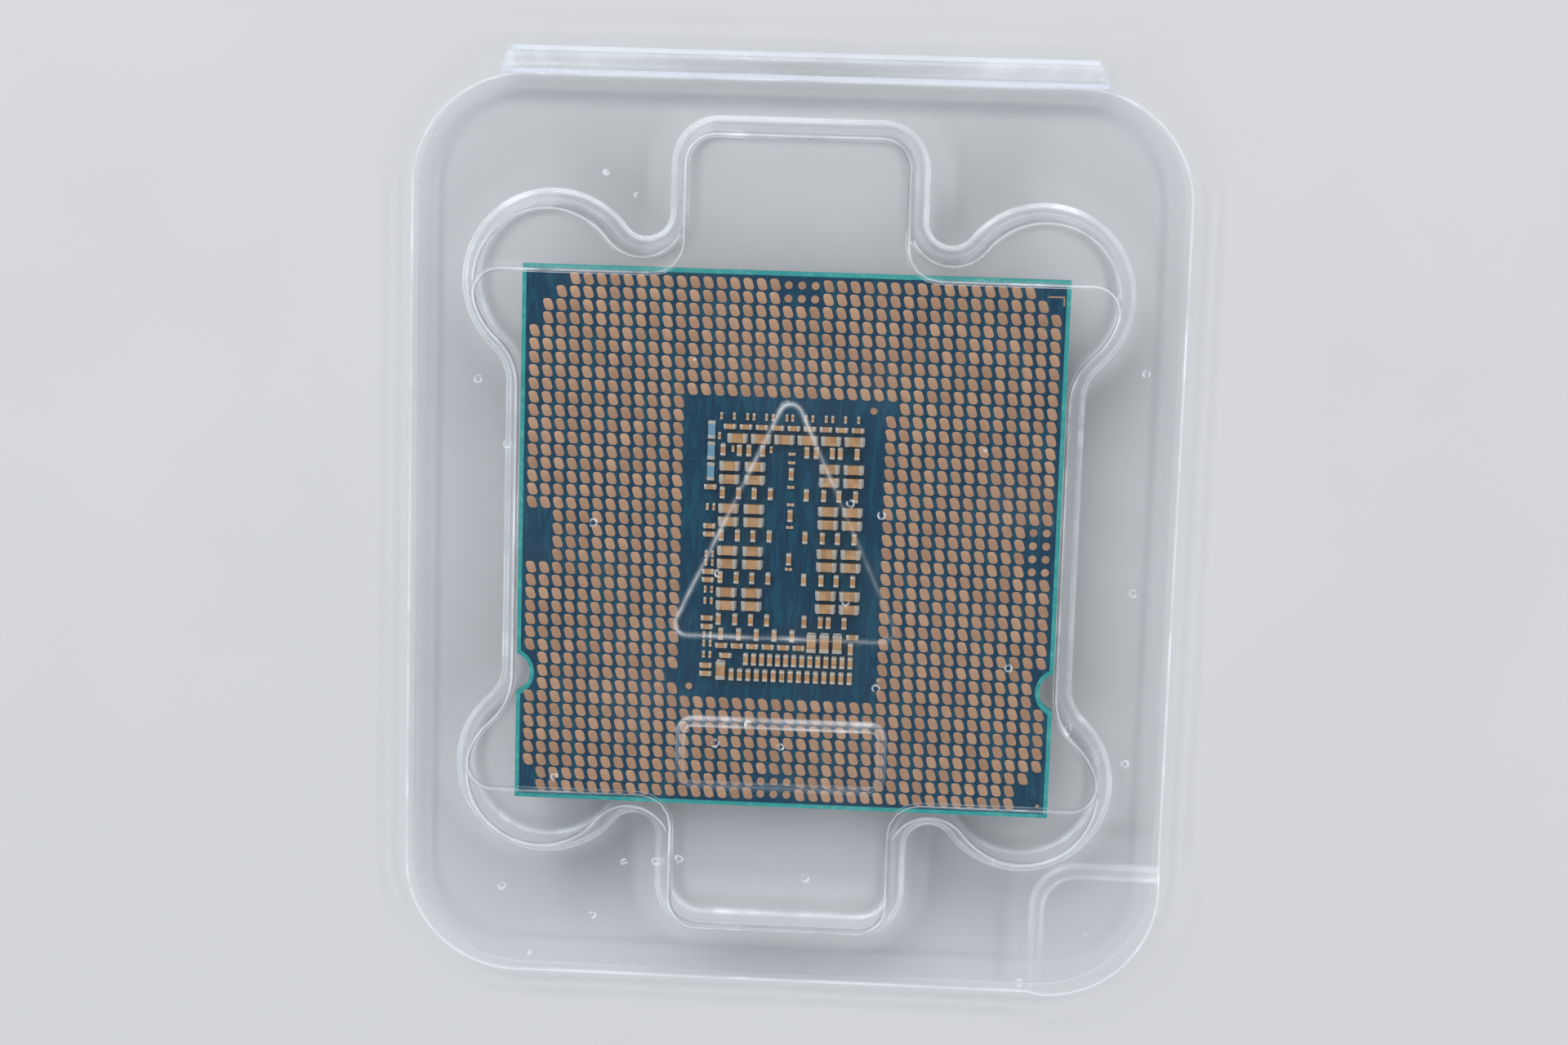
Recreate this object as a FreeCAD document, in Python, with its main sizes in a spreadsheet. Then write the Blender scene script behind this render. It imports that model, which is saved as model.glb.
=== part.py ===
import FreeCAD, Part
import Sketcher
import math
import os

# A 37.5 mm land grid array processor, land side up, in its hinged clear clamshell.
# Millimetres, +Z up, +Y towards the hinge, origin at the bottom centre of the closed clamshell.

SIZES = {
    # package laminate
    "package_side": 37.5, "core_thick": 0.80, "buildup_thick": 0.16, "mask_thick": 0.025,
    "mask_margin": 0.30, "notch_radius": 1.45, "notch_outset": 0.50, "notch_offset": 9.8,
    # contact lands
    "land_pitch": 0.9144, "land_count": 40, "land_thick": 0.03, "land_chord": 0.62,
    "land_height": 0.81, "land_lean": 0.25, "land_cut": 0.16, "test_radius": 0.275,
    "dot_radius": 0.24, "pad_thick": 0.02,
    # passives: the body is a little slimmer and lower than its ends
    "body_slimness": 0.94, "body_lowness": 0.95,
    # marks on the die side
    "top_pad_side": 0.8, "top_pad_inset": 0.95, "top_pad_pitch": 1.5,
    "pin_one_inset": 1.1, "pin_one_arm": 1.5,
    # die stack
    "die_width": 9.2, "die_length": 22.4, "die_thick": 0.5, "bump_height": 0.08,
    "bump_radius": 0.16, "bump_pitch": 1.1, "solder_thick": 0.30, "solder_margin": 0.4,
    "underfill_reach": 0.8, "underfill_climb": 0.7, "underfill_lip": 0.05,
    # heat spreader
    "spreader_width": 33.8, "spreader_length": 31.6, "flange_thick": 1.15,
    "top_width": 27.8, "top_length": 30.4, "spreader_corner": 1.12, "top_edge": 0.25,
    "cavity_width": 24.6, "cavity_length": 26.0, "sealant_thick": 0.10, "sealant_width": 1.6,
    "sealant_inset": 0.6, "vent_gap": 3.0, "package_height": 4.4,
    # clamshell sheet and its levels
    "sheet_thick": 0.3, "seam_level": 1.2, "seam_gap": 0.02, "ledge_under": 4.8, "roof_under": 5.5,
    # clamshell rim and hinge bead
    "rim_half_width": 27.1, "rim_half_length": 32.7, "rim_end": 31.55, "rim_corner": 8.0,
    "bead_centre": 32.5, "bead_radius": 0.95, "bead_length": 40.4,
    # pocket outline: finger slots, corner lobes and side walls
    "slot_half_width": 9.0, "slot_half_length": 29.05, "slot_corner": 3.4, "slot_fillet": 1.6,
    "lobe_x": 17.0, "lobe_y": 17.25, "lobe_radius": 6.5,
    "side_half_width": 20.3, "side_fillet": 3.0,
    "step_line": 19.6, "step_fillet": 0.8, "step_corner": 3.2,
    "wall_inset": 0.9, "tray_inset": 0.6,
    # raised features of the lid
    "rib_half_width": 7.3, "rib_length": 5.1, "rib_middle": 15.0, "rib_height": 0.5, "rib_corner": 1.1,
    "mark_radius": 11.4, "mark_line": 0.5, "mark_height": 0.15, "mark_corner": 0.8, "mark_squeeze": 0.8,
    "mark_drop": 1.0,
    "lift_width": 9.0, "lift_length": 9.6, "lift_height": 0.7, "lift_corner": 3.2, "lift_tip": 0.3,
    "package_shift": -0.2,
}

doc = FreeCAD.newDocument("processor")
sheet = doc.addObject("Spreadsheet::Sheet", "Sizes")
for row, (alias, value) in enumerate(SIZES.items(), start=1):
    sheet.set("A%d" % row, alias)
    sheet.set("B%d" % row, str(value))
    sheet.setAlias("B%d" % row, alias)
doc.recompute()


def size(alias):
    return float(sheet.get(alias))


# derived levels, from the table of sizes
sheet_thick = size("sheet_thick")
land_level = sheet_thick + size("package_height")
core_top = land_level - size("mask_thick") - size("buildup_thick")
core_bottom = core_top - size("core_thick")
buildup_bottom = core_bottom - size("buildup_thick")
die_side_level = buildup_bottom - size("mask_thick")
spreader_face = die_side_level - size("sealant_thick")
die_face = die_side_level - size("bump_height")
die_back = die_face - size("die_thick")
solder_back = die_back - size("solder_thick")
shell_y = (size("rim_half_length") - size("bead_centre") - size("bead_radius")) / 2
package_y = shell_y + size("package_shift")

# the same levels as expressions on the sheet
LAND = "Sizes.sheet_thick + Sizes.package_height"
CORE_TOP = LAND + " - Sizes.mask_thick - Sizes.buildup_thick"
CORE_BOTTOM = CORE_TOP + " - Sizes.core_thick"
BUILDUP_BOTTOM = CORE_BOTTOM + " - Sizes.buildup_thick"
DIE_SIDE = BUILDUP_BOTTOM + " - Sizes.mask_thick"
DIE_FACE = DIE_SIDE + " - Sizes.bump_height"
DIE_BACK = DIE_FACE + " - Sizes.die_thick"
SOLDER_BACK = DIE_BACK + " - Sizes.solder_thick"
SHELL_Y = "(Sizes.rim_half_length - Sizes.bead_centre - Sizes.bead_radius) / 2"
PACKAGE_Y = SHELL_Y + " + Sizes.package_shift"

nodes = {}


def keep(name, thing):
    """Names a finished sub-part: its label is the name of its file."""
    thing.Label = name
    nodes[name] = thing
    return thing


def place(thing, y_expression, z_expression):
    thing.setExpression("Placement.Base.y", y_expression)
    thing.setExpression("Placement.Base.z", z_expression)


# ------------------------------------------------------------------ sketched bodies

def new_sketch(body, name):
    plane = [item for item in body.Origin.OriginFeatures if item.Role == "XY_Plane"][0]
    sketch = body.newObject("Sketcher::SketchObject", name)
    sketch.AttachmentSupport = [(plane, "")]
    sketch.MapMode = "FlatFace"
    return sketch


def drive(sketch, kind, *terms, expression):
    number = sketch.addConstraint(Sketcher.Constraint(kind, *terms))
    sketch.setExpression("Constraints[%d]" % number, expression)


def draw_rectangle(sketch, width, length):
    """A rectangle centred on the sketch origin, its two sizes given as expressions."""
    first = sketch.GeometryCount
    corners = [FreeCAD.Vector(x, y, 0) for x, y in ((-1, -1), (1, -1), (1, 1), (-1, 1))]
    for number in range(4):
        sketch.addGeometry(Part.LineSegment(corners[number], corners[(number + 1) % 4]))
    for number in range(4):
        following = first + (number + 1) % 4
        sketch.addConstraint(Sketcher.Constraint("Coincident", first + number, 2, following, 1))
        direction = "Horizontal" if number % 2 == 0 else "Vertical"
        sketch.addConstraint(Sketcher.Constraint(direction, first + number))
    sketch.addConstraint(Sketcher.Constraint("Symmetric", first, 1, first + 1, 2, -1, 1))
    drive(sketch, "DistanceX", first, 1, first, 2, 2.0, expression=width)
    drive(sketch, "DistanceY", first + 1, 1, first + 1, 2, 2.0, expression=length)


def draw_notches(sketch, margin):
    """The two key circles, one on each side edge."""
    for side, sign in ((1, ""), (-1, "-")):
        centre = FreeCAD.Vector(side * 19.0, -9.0, 0)
        edge = sketch.addGeometry(Part.Circle(centre, FreeCAD.Vector(0, 0, 1), 1.0))
        across = "%s(Sizes.package_side / 2 + Sizes.notch_outset)" % sign
        drive(sketch, "DistanceX", -1, 1, edge, 3, centre.x, expression=across)
        drive(sketch, "DistanceY", -1, 1, edge, 3, centre.y, expression="-Sizes.notch_offset")
        drive(sketch, "Radius", edge, 1.0, expression="Sizes.notch_radius" + margin)


def pad(body, sketch, name, length):
    feature = body.newObject("PartDesign::Pad", name)
    feature.Profile = sketch
    feature.setExpression("Length", length)
    return feature


def sheet_body(name, side, thick, level, margin=""):
    """One layer of the package: a square sheet with the two key notches."""
    body = doc.addObject("PartDesign::Body", name)
    outline = new_sketch(body, name + "_outline")
    draw_rectangle(outline, side, side)
    pad(body, outline, name + "_pad", thick)
    doc.recompute()
    before = body.Shape.Volume
    keys = new_sketch(body, name + "_keys")
    draw_notches(keys, margin)
    cut = body.newObject("PartDesign::Pocket", name + "_notches")
    cut.Profile = keys
    cut.Type = "ThroughAll"
    cut.Midplane = True
    doc.recompute()
    if not body.Shape.Volume < before:
        raise RuntimeError("the key notches of %s cut nothing" % name)
    place(body, PACKAGE_Y, level)
    return keep(name, body)


def block_body(name, width, length, thick, level):
    body = doc.addObject("PartDesign::Body", name)
    outline = new_sketch(body, name + "_outline")
    draw_rectangle(outline, width, length)
    pad(body, outline, name + "_pad", thick)
    place(body, PACKAGE_Y, level)
    return keep(name, body)


# ------------------------------------------------------------------ package laminate

def make_laminate():
    side = "Sizes.package_side"
    masked = "Sizes.package_side - 2 * Sizes.mask_margin"
    sheet_body("substrate_core", side, "Sizes.core_thick", CORE_BOTTOM)
    sheet_body("buildup_land_side", side, "Sizes.buildup_thick", CORE_TOP)
    sheet_body("buildup_die_side", side, "Sizes.buildup_thick", BUILDUP_BOTTOM)
    sheet_body("solder_mask_land_side", masked, "Sizes.mask_thick",
               LAND + " - Sizes.mask_thick", " + Sizes.mask_margin")
    sheet_body("solder_mask_die_side", masked, "Sizes.mask_thick", DIE_SIDE, " + Sizes.mask_margin")


# ------------------------------------------------------------------ small repeated pieces

def group(name, solids):
    """Many identical small solids that share one node."""
    thing = doc.addObject("Part::Feature", name)
    thing.Shape = Part.makeCompound(solids)
    place(thing, PACKAGE_Y, LAND)
    return keep(name, thing)


def block(x, y, wide, deep, low, high):
    corner = FreeCAD.Vector(x - wide / 2, y - deep / 2, low)
    return Part.makeBox(wide, deep, high - low, corner)


def land_outline():
    """A leaning land, its two sharp corners cut off."""
    chord = size("land_chord") / 2
    high = size("land_height") / 2
    lean = size("land_lean") / 2
    cut = size("land_cut")
    points = [(-chord - lean + cut, high), (chord - lean, high), (chord + lean, -high + cut),
              (chord + lean - cut, -high), (-chord + lean, -high), (-chord - lean, high - cut)]
    corners = [FreeCAD.Vector(x, y, 0) for x, y in points]
    return Part.Face(Part.makePolygon(corners + corners[:1]))


def grid_place(column, row):
    middle = (size("land_count") - 1) / 2
    pitch = size("land_pitch")
    return FreeCAD.Vector((column - middle) * pitch, (middle - row) * pitch, 0)


# spans of land columns, by rows counted from the hinge side
LAND_ROWS = [
    ((0, 0), [(3, 18), (22, 37)]), ((1, 1), [(2, 18), (22, 38)]), ((2, 3), [(1, 39)]),
    ((4, 8), [(0, 39)]), ((9, 9), [(0, 11), (28, 39)]), ((10, 17), [(0, 11), (27, 39)]),
    ((18, 21), [(2, 11), (27, 37)]), ((22, 28), [(0, 11), (27, 39)]), ((29, 29), [(1, 11), (27, 38)]),
    ((30, 30), [(1, 10), (27, 38)]), ((31, 31), [(1, 11), (27, 38)]), ((32, 36), [(0, 39)]),
    ((37, 37), [(0, 38)]), ((38, 39), [(1, 17), (21, 37)]),
]
NORTH_ROWS = 9
SOUTH_ROWS = 32


def make_lands():
    fields = {"lands_north": [], "lands_south": [], "lands_west": [], "lands_east": []}
    land = land_outline().extrude(FreeCAD.Vector(0, 0, size("land_thick")))
    for (first, last), spans in LAND_ROWS:
        for row in range(first, last + 1):
            columns = [column for low, high in spans for column in range(low, high + 1)]
            for column in columns:
                side = "lands_west" if column < size("land_count") / 2 else "lands_east"
                if row < NORTH_ROWS:
                    side = "lands_north"
                if row >= SOUTH_ROWS:
                    side = "lands_south"
                fields[side].append(land.translated(grid_place(column, row)))
    for name, solids in fields.items():
        group(name, solids)


def disc(place_at, radius):
    return Part.makeCylinder(radius, size("pad_thick"), place_at)


def make_test_points():
    places = [(column, row) for row in (0, 1) for column in (19, 20, 21)]
    places += [(column, row) for row in (18, 19, 20, 21) for column in (38, 39)]
    places += [(column, row) for row in (38, 39) for column in (18, 19, 20)]
    group("test_points", [disc(grid_place(*spot), size("test_radius")) for spot in places])
    dots = [FreeCAD.Vector(5.65, 9.4, 0), FreeCAD.Vector(-6.6, -10.3, 0)]
    group("fiducials", [disc(spot, size("dot_radius")) for spot in dots])


# ------------------------------------------------------------------ passives in the middle field

# length, width, height and end length of each passive
PASSIVES = {
    "large_capacitor": (1.28, 0.66, 0.50, 0.26),
    "small_capacitor": (0.78, 0.36, 0.34, 0.17),
    "tiny_capacitor": (0.44, 0.20, 0.20, 0.11),
    "resistor": (1.20, 0.52, 0.26, 0.22),
}


def spaced(first, pitch, count):
    return [first + pitch * number for number in range(count)]


def passive_places():
    """Where each passive stands: kind, x, y and whether it is turned to run along Y."""
    spots = []

    def line(kind, y, turned, xs):
        spots.extend((kind, x, y, turned) for x in xs)

    line("tiny_capacitor", 8.73, True, [-4.8, -3.92, -3.0, -2.56, -1.7, -1.25, -0.3, 0.1])
    line("tiny_capacitor", 8.73, True, [1.03, 1.48, 2.4, 2.85, 3.73, 4.63])
    line("small_capacitor", 8.03, False, spaced(-4.2, 1.1, 9))
    line("large_capacitor", 7.25, False, spaced(-3.65, 1.61, 6))
    line("small_capacitor", 6.4, True, [-4.63, -3.5, -2.85, -1.9, 1.15, 1.8, 2.9, 3.45, 4.6])
    line("tiny_capacitor", 6.5, True, [-3.95, -1.32])
    for x in (-4.15, -2.4, 2.75, 4.4):
        for pair in (4.85, 1.9, -1.05, -3.98):
            spots.append(("large_capacitor", x, pair + 0.46, False))
            spots.append(("large_capacitor", x, pair - 0.46, False))
    for y in (3.42, 0.46, -2.5):
        line("small_capacitor", y, True, [-4.6, -3.48, -2.4, -1.28, 1.2, 2.4, 3.45, 4.6])
    line("small_capacitor", -5.45, True, [-4.65, -3.5, -2.4, -1.28, 1.32, 2.45, 3.0, 4.1])
    line("small_capacitor", -6.5, True, spaced(-4.45, 1.24, 5))
    line("small_capacitor", -7.3, False, spaced(-4.4, 1.08, 6))
    line("large_capacitor", -6.9, True, spaced(1.87, 0.9, 3))
    line("small_capacitor", -7.25, True, [4.6])
    line("small_capacitor", -6.4, False, [4.7])
    line("small_capacitor", -8.24, True, spaced(-2.67, 0.56, 14))
    line("small_capacitor", -8.0, False, [-4.1])
    line("large_capacitor", -9.05, True, [-4.4])
    line("small_capacitor", -9.35, True, spaced(-3.65, 0.589, 15))
    for y in (4.85, 1.95, -1.1):
        line("small_capacitor", y, True, [0.12])
    for y in (6.25, 5.65, 2.73, 1.15, -1.78):
        line("tiny_capacitor", y, False, [0.12])
    line("tiny_capacitor", 3.95, False, [0.12])
    for y in (3.8, 1.08, 0.5, -2.12, -2.7, -5.4, -6.0, -8.75, -9.33):
        line("small_capacitor", y, False, [-5.45])
    for y in (2.4, -0.9, -1.5, -3.4, -4.2, -6.6, -7.2, -8.0):
        line("tiny_capacitor", y, True, [-5.62, -5.17])
    for y in (7.75, 6.3, 4.85):
        line("resistor", y, True, [-5.45])
    line("tiny_capacitor", 7.35, True, [-4.9])
    return spots


def make_passives():
    bodies = {kind: [] for kind in PASSIVES}
    ends = {kind: [] for kind in PASSIVES}
    for kind, x, y, turned in passive_places():
        length, width, height, end = PASSIVES[kind]
        shift = (length - end) / 2
        middle = length - 2 * end
        slim = width * size("body_slimness")
        low = height * size("body_lowness")
        if turned:
            bodies[kind].append(block(x, y, slim, middle, 0, low))
            ends[kind].append(block(x, y - shift, width, end, 0, height))
            ends[kind].append(block(x, y + shift, width, end, 0, height))
        else:
            bodies[kind].append(block(x, y, middle, slim, 0, low))
            ends[kind].append(block(x - shift, y, end, width, 0, height))
            ends[kind].append(block(x + shift, y, end, width, 0, height))
    for kind in PASSIVES:
        group(kind + "_bodies", bodies[kind])
        group(kind + "_ends", ends[kind])


# ------------------------------------------------------------------ die side of the package

def die_side_group(name, solids):
    thing = group(name, solids)
    place(thing, PACKAGE_Y, DIE_SIDE)
    return thing


def make_die_stack():
    block_body("silicon_die", "Sizes.die_length", "Sizes.die_width", "Sizes.die_thick", DIE_BACK)
    solder_length = "Sizes.die_length + 2 * Sizes.solder_margin"
    solder_width = "Sizes.die_width + 2 * Sizes.solder_margin"
    block_body("solder_thermal_interface", solder_length, solder_width, "Sizes.solder_thick", SOLDER_BACK)
    pitch = size("bump_pitch")
    columns = int(size("die_length") / pitch)
    rows = int(size("die_width") / pitch)
    bumps = []
    for column in range(columns):
        for row in range(rows):
            x = (column - (columns - 1) / 2) * pitch
            y = (row - (rows - 1) / 2) * pitch
            foot = FreeCAD.Vector(x, y, -size("bump_height"))
            bumps.append(Part.makeCylinder(size("bump_radius"), size("bump_height"), foot))
    die_side_group("die_bumps", bumps)
    reach = size("underfill_reach")
    lip = size("underfill_lip")
    depth = size("bump_height") + size("die_thick") * size("underfill_climb")
    wide = size("die_length")
    deep = size("die_width")
    foot = Part.Face(Part.makePolygon(rectangle_points(wide + 2 * reach, deep + 2 * reach, 0)))
    tip = Part.Face(Part.makePolygon(rectangle_points(wide + 2 * lip, deep + 2 * lip, -depth)))
    collar = Part.makeLoft([foot.OuterWire, tip.OuterWire], True, True)
    hole = block(0, 0, wide, deep, -depth - 0.1, 0.1)
    die_side_group("die_underfill", [collar.cut(hole)])


def rectangle_points(wide, deep, z):
    signs = ((-1, -1), (1, -1), (1, 1), (-1, 1), (-1, -1))
    return [FreeCAD.Vector(sx * wide / 2, sy * deep / 2, z) for sx, sy in signs]


def make_die_side_marks():
    reach = size("package_side") / 2 - size("pin_one_inset")
    thick = size("pad_thick")
    arm = size("pin_one_arm")
    corner = FreeCAD.Vector(-reach, -reach, -thick)
    points = [corner, corner + FreeCAD.Vector(arm, 0, 0), corner + FreeCAD.Vector(0, arm, 0), corner]
    mark = Part.Face(Part.makePolygon(points)).extrude(FreeCAD.Vector(0, 0, thick))
    die_side_group("pin_one_mark", [mark])
    side = size("top_pad_side")
    edge = size("package_side") / 2 - size("top_pad_inset")
    pads = []
    for number in range(6):
        x = (number - 2.5) * size("top_pad_pitch")
        pads.append(block(x, edge, side, side, -thick, 0))
        pads.append(block(x, -edge, side, side, -thick, 0))
    die_side_group("top_test_pads", pads)


def rounded_block(wide, deep, high, corner, level):
    """A block on the middle of the package, its upright edges rounded."""
    solid = block(0, 0, wide, deep, level, level + high)
    upright = [edge for edge in solid.Edges if abs(edge.tangentAt(edge.FirstParameter).z) > 0.9]
    return solid.makeFillet(corner, upright)


def make_heat_spreader():
    """The flanged plate lies flange up: its raised top rests on the tray floor."""
    whole = spreader_face - sheet_thick
    flange = block_feature("spreader_flange", "spreader_width", "spreader_length", "flange_thick")
    flange.setExpression("Placement.Base.z", "%s - Sizes.sealant_thick - Sizes.flange_thick" % DIE_SIDE)
    raised = doc.addObject("Part::Box", "spreader_top")
    raised.setExpression("Length", "Sizes.top_width")
    raised.setExpression("Width", "Sizes.top_length")
    raised.Height = whole - size("flange_thick")
    raised.setExpression("Placement.Base.x", "-Sizes.top_width / 2")
    raised.setExpression("Placement.Base.y", "-Sizes.top_length / 2")
    raised.setExpression("Placement.Base.z", "Sizes.sheet_thick")
    joined = doc.addObject("Part::MultiFuse", "spreader_blank")
    joined.Shapes = [flange, raised]
    cavity = block_feature("spreader_cavity", "cavity_width", "cavity_length", "package_side")
    cavity.setExpression("Placement.Base.z", SOLDER_BACK)
    hollow = doc.addObject("Part::Cut", "spreader_hollow")
    hollow.Base = joined
    hollow.Tool = cavity
    doc.recompute()
    upright = []
    rim = []
    half_width = size("top_width") / 2
    for number, edge in enumerate(hollow.Shape.Edges, start=1):
        centre = edge.CenterOfMass
        outside = abs(centre.x) > half_width - 0.01
        if abs(edge.tangentAt(edge.FirstParameter).z) > 0.9 and outside:
            upright.append((number, size("spreader_corner"), size("spreader_corner")))
        if abs(centre.z - sheet_thick) < 0.01:
            rim.append((number, size("top_edge"), size("top_edge")))
    spreader = doc.addObject("Part::Fillet", "heat_spreader")
    spreader.Base = hollow
    spreader.Edges = upright + rim
    place(spreader, PACKAGE_Y, "0")
    return keep("heat_spreader", spreader)


def block_feature(name, width, length, thick):
    thing = doc.addObject("Part::Box", name)
    thing.setExpression("Length", "Sizes." + width)
    thing.setExpression("Width", "Sizes." + length)
    thing.setExpression("Height", "Sizes." + thick)
    thing.setExpression("Placement.Base.x", "-Sizes.%s / 2" % width)
    thing.setExpression("Placement.Base.y", "-Sizes.%s / 2" % length)
    return thing


def make_sealant():
    """A bead under the spreader's flange, open at one side for venting."""
    thick = size("sealant_thick")
    wide = size("spreader_width") - 2 * size("sealant_inset")
    deep = size("spreader_length") - 2 * size("sealant_inset")
    bead = size("sealant_width")
    frame = block(0, 0, wide, deep, -thick, 0)
    frame = frame.cut(block(0, 0, wide - 2 * bead, deep - 2 * bead, -thick, 0))
    frame = frame.cut(block(0, -deep / 2, size("vent_gap"), 4 * bead, -thick, 0))
    die_side_group("spreader_sealant", [frame])


# ------------------------------------------------------------------ clamshell outlines

def arc_edge(centre_x, centre_y, radius, start, end):
    points = []
    for angle in (start, (start + end) / 2, end):
        turn = math.radians(angle)
        x = centre_x + radius * math.cos(turn)
        y = centre_y + radius * math.sin(turn)
        points.append(FreeCAD.Vector(x, y, 0))
    return Part.Arc(*points).toShape()


def wire_through(arcs):
    """Arcs in order, joined by the straight lines between them."""
    edges = []
    curves = [arc_edge(*arc) for arc in arcs]
    for number, curve in enumerate(curves):
        start = arc_point(arcs[number - 1], 4)
        end = arc_point(arcs[number], 3)
        if start.distanceToPoint(end) > 1e-6:
            edges.append(Part.LineSegment(start, end).toShape())
        edges.append(curve)
    return Part.Wire(Part.__sortEdges__(edges))


def arc_point(arc, which):
    turn = math.radians(arc[which])
    return FreeCAD.Vector(arc[0] + arc[2] * math.cos(turn), arc[1] + arc[2] * math.sin(turn), 0)


def all_round(quadrant):
    """Repeats the arcs of the quadrant +X +Y in the other three, going round clockwise."""
    below = [(x, -y, r, -end, -start) for x, y, r, start, end in reversed(quadrant)]
    left_below = [(-x, -y, r, start + 180, end + 180) for x, y, r, start, end in quadrant]
    left = [(-x, y, r, 180 - end, 180 - start) for x, y, r, start, end in reversed(quadrant)]
    return quadrant + below + left_below + left


def pocket_arcs(inset, stepped):
    """The pocket's outline: finger slot, lobe and side wall. The stepped one stops short in the lobe."""
    slot_x = size("slot_half_width")
    lobe_x = size("lobe_x")
    lobe_y = size("lobe_y")
    lobe = size("lobe_radius")
    corner = size("slot_corner")
    arcs = [(slot_x - corner, size("slot_half_length") - corner, corner - inset, 90, 0)]
    if stepped:
        fillet = size("step_fillet")
        knee = size("step_corner")
        knee_y = size("step_line") - knee
        knee_x = lobe_x + math.sqrt((lobe - knee) ** 2 - (knee_y - lobe_y) ** 2)
        meet = math.degrees(math.atan2(knee_y - lobe_y, knee_x - lobe_x))
        arcs.append((slot_x + fillet, size("step_line") + fillet, fillet + inset, 180, 270))
        arcs.append((knee_x, knee_y, knee - inset, 90, meet))
        arcs.append((lobe_x, lobe_y, lobe - inset, meet, -45))
    else:
        fillet = size("slot_fillet")
        reach = lobe_x - slot_x - fillet
        rise = math.sqrt((lobe + fillet) ** 2 - reach ** 2)
        meet = math.degrees(math.atan2(rise, -reach))
        arcs.append((slot_x + fillet, lobe_y + rise, fillet + inset, 180, 180 + meet))
        arcs.append((lobe_x, lobe_y, lobe - inset, meet, -45))
    side = size("side_fillet")
    root = math.sqrt(2)
    side_x = size("side_half_width") + side
    side_y = side_x - (lobe_x - lobe_y + root * lobe) - root * side
    arcs.append((side_x, side_y, side + inset, 135, 180))
    return all_round(arcs)


def rim_wire():
    """The rim: a rectangle with four large corners that ends at the hinge bead."""
    half_width = size("rim_half_width")
    bottom = -size("rim_half_length")
    top = size("rim_end")
    return rounded_wire(0, (top + bottom) / 2, half_width, (top - bottom) / 2, size("rim_corner"))


def outline(name, wire):
    """A flat face that an extrusion is made from."""
    thing = doc.addObject("Part::Feature", name)
    thing.Shape = Part.Face(wire)
    return thing


def raise_up(name, base, low, high):
    """Extrudes an outline from one level to another, both given as expressions."""
    thing = doc.addObject("Part::Extrusion", name)
    thing.Base = base
    thing.DirMode = "Custom"
    thing.Dir = FreeCAD.Vector(0, 0, 1)
    thing.Solid = True
    thing.setExpression("LengthFwd", "(%s) - (%s)" % (high, low))
    place(thing, SHELL_Y, low)
    return thing


def join(name, things):
    thing = doc.addObject("Part::MultiFuse", name)
    thing.Shapes = things
    return thing


def hollow_out(name, base, tool):
    thing = doc.addObject("Part::Cut", name)
    thing.Base = base
    thing.Tool = tool
    return keep(name, thing)


def rounded_wire(x, y, half_wide, half_deep, corner):
    spots = [(1, 1, 90, 0), (1, -1, 0, -90), (-1, -1, 270, 180), (-1, 1, 180, 90)]
    arcs = []
    for side_x, side_y, start, end in spots:
        middle_x = x + side_x * (half_wide - corner)
        middle_y = y + side_y * (half_deep - corner)
        arcs.append((middle_x, middle_y, corner, start, end))
    return wire_through(arcs)


def make_tray():
    gap = "Sizes.seam_level - Sizes.seam_gap"
    inset = size("tray_inset")
    rim = raise_up("tray_rim", outline("tray_rim_face", rim_wire()), "%s - Sizes.sheet_thick" % gap, gap)
    pocket = outline("tray_pocket_face", wire_through(pocket_arcs(inset, False)))
    bowl = raise_up("tray_bowl", pocket, "0", gap)
    inner = outline("tray_inner_face", wire_through(pocket_arcs(inset + sheet_thick, False)))
    cavity = raise_up("tray_cavity", inner, "Sizes.sheet_thick", "Sizes.seam_level + 1")
    hollow_out("clamshell_tray", join("tray_blank", [rim, bowl]), cavity)


def lift_wire(inset):
    """The raised corner of the rim that a thumb gets under."""
    right = size("rim_half_width")
    bottom = -size("rim_half_length")
    corner = size("rim_corner")
    left = right - size("lift_width") + inset
    top = bottom + size("lift_length") - inset
    knee = size("lift_corner") - inset
    tip = size("lift_tip")
    edge = right - inset
    foot = bottom + inset
    arcs = [(left + knee, top - knee, knee, 180, 90), (edge - tip, top - tip, tip, 90, 0),
            (edge - corner + inset, foot + corner - inset, corner - inset, 0, -90),
            (left + tip, foot + tip, tip, 270, 180)]
    return wire_through(arcs)


def mark_wire(radius):
    """A plain triangle with rounded corners, pointing to the hinge."""
    corner = size("mark_corner")
    arcs = []
    for number in range(3):
        middle = 90 - 120 * number
        turn = math.radians(middle)
        reach = radius - 2 * corner
        x = reach * math.cos(turn) * size("mark_squeeze")
        y = reach * math.sin(turn) - size("mark_drop")
        arcs.append((x, y, corner, middle + 60, middle - 60))
    return wire_through(arcs)


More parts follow.
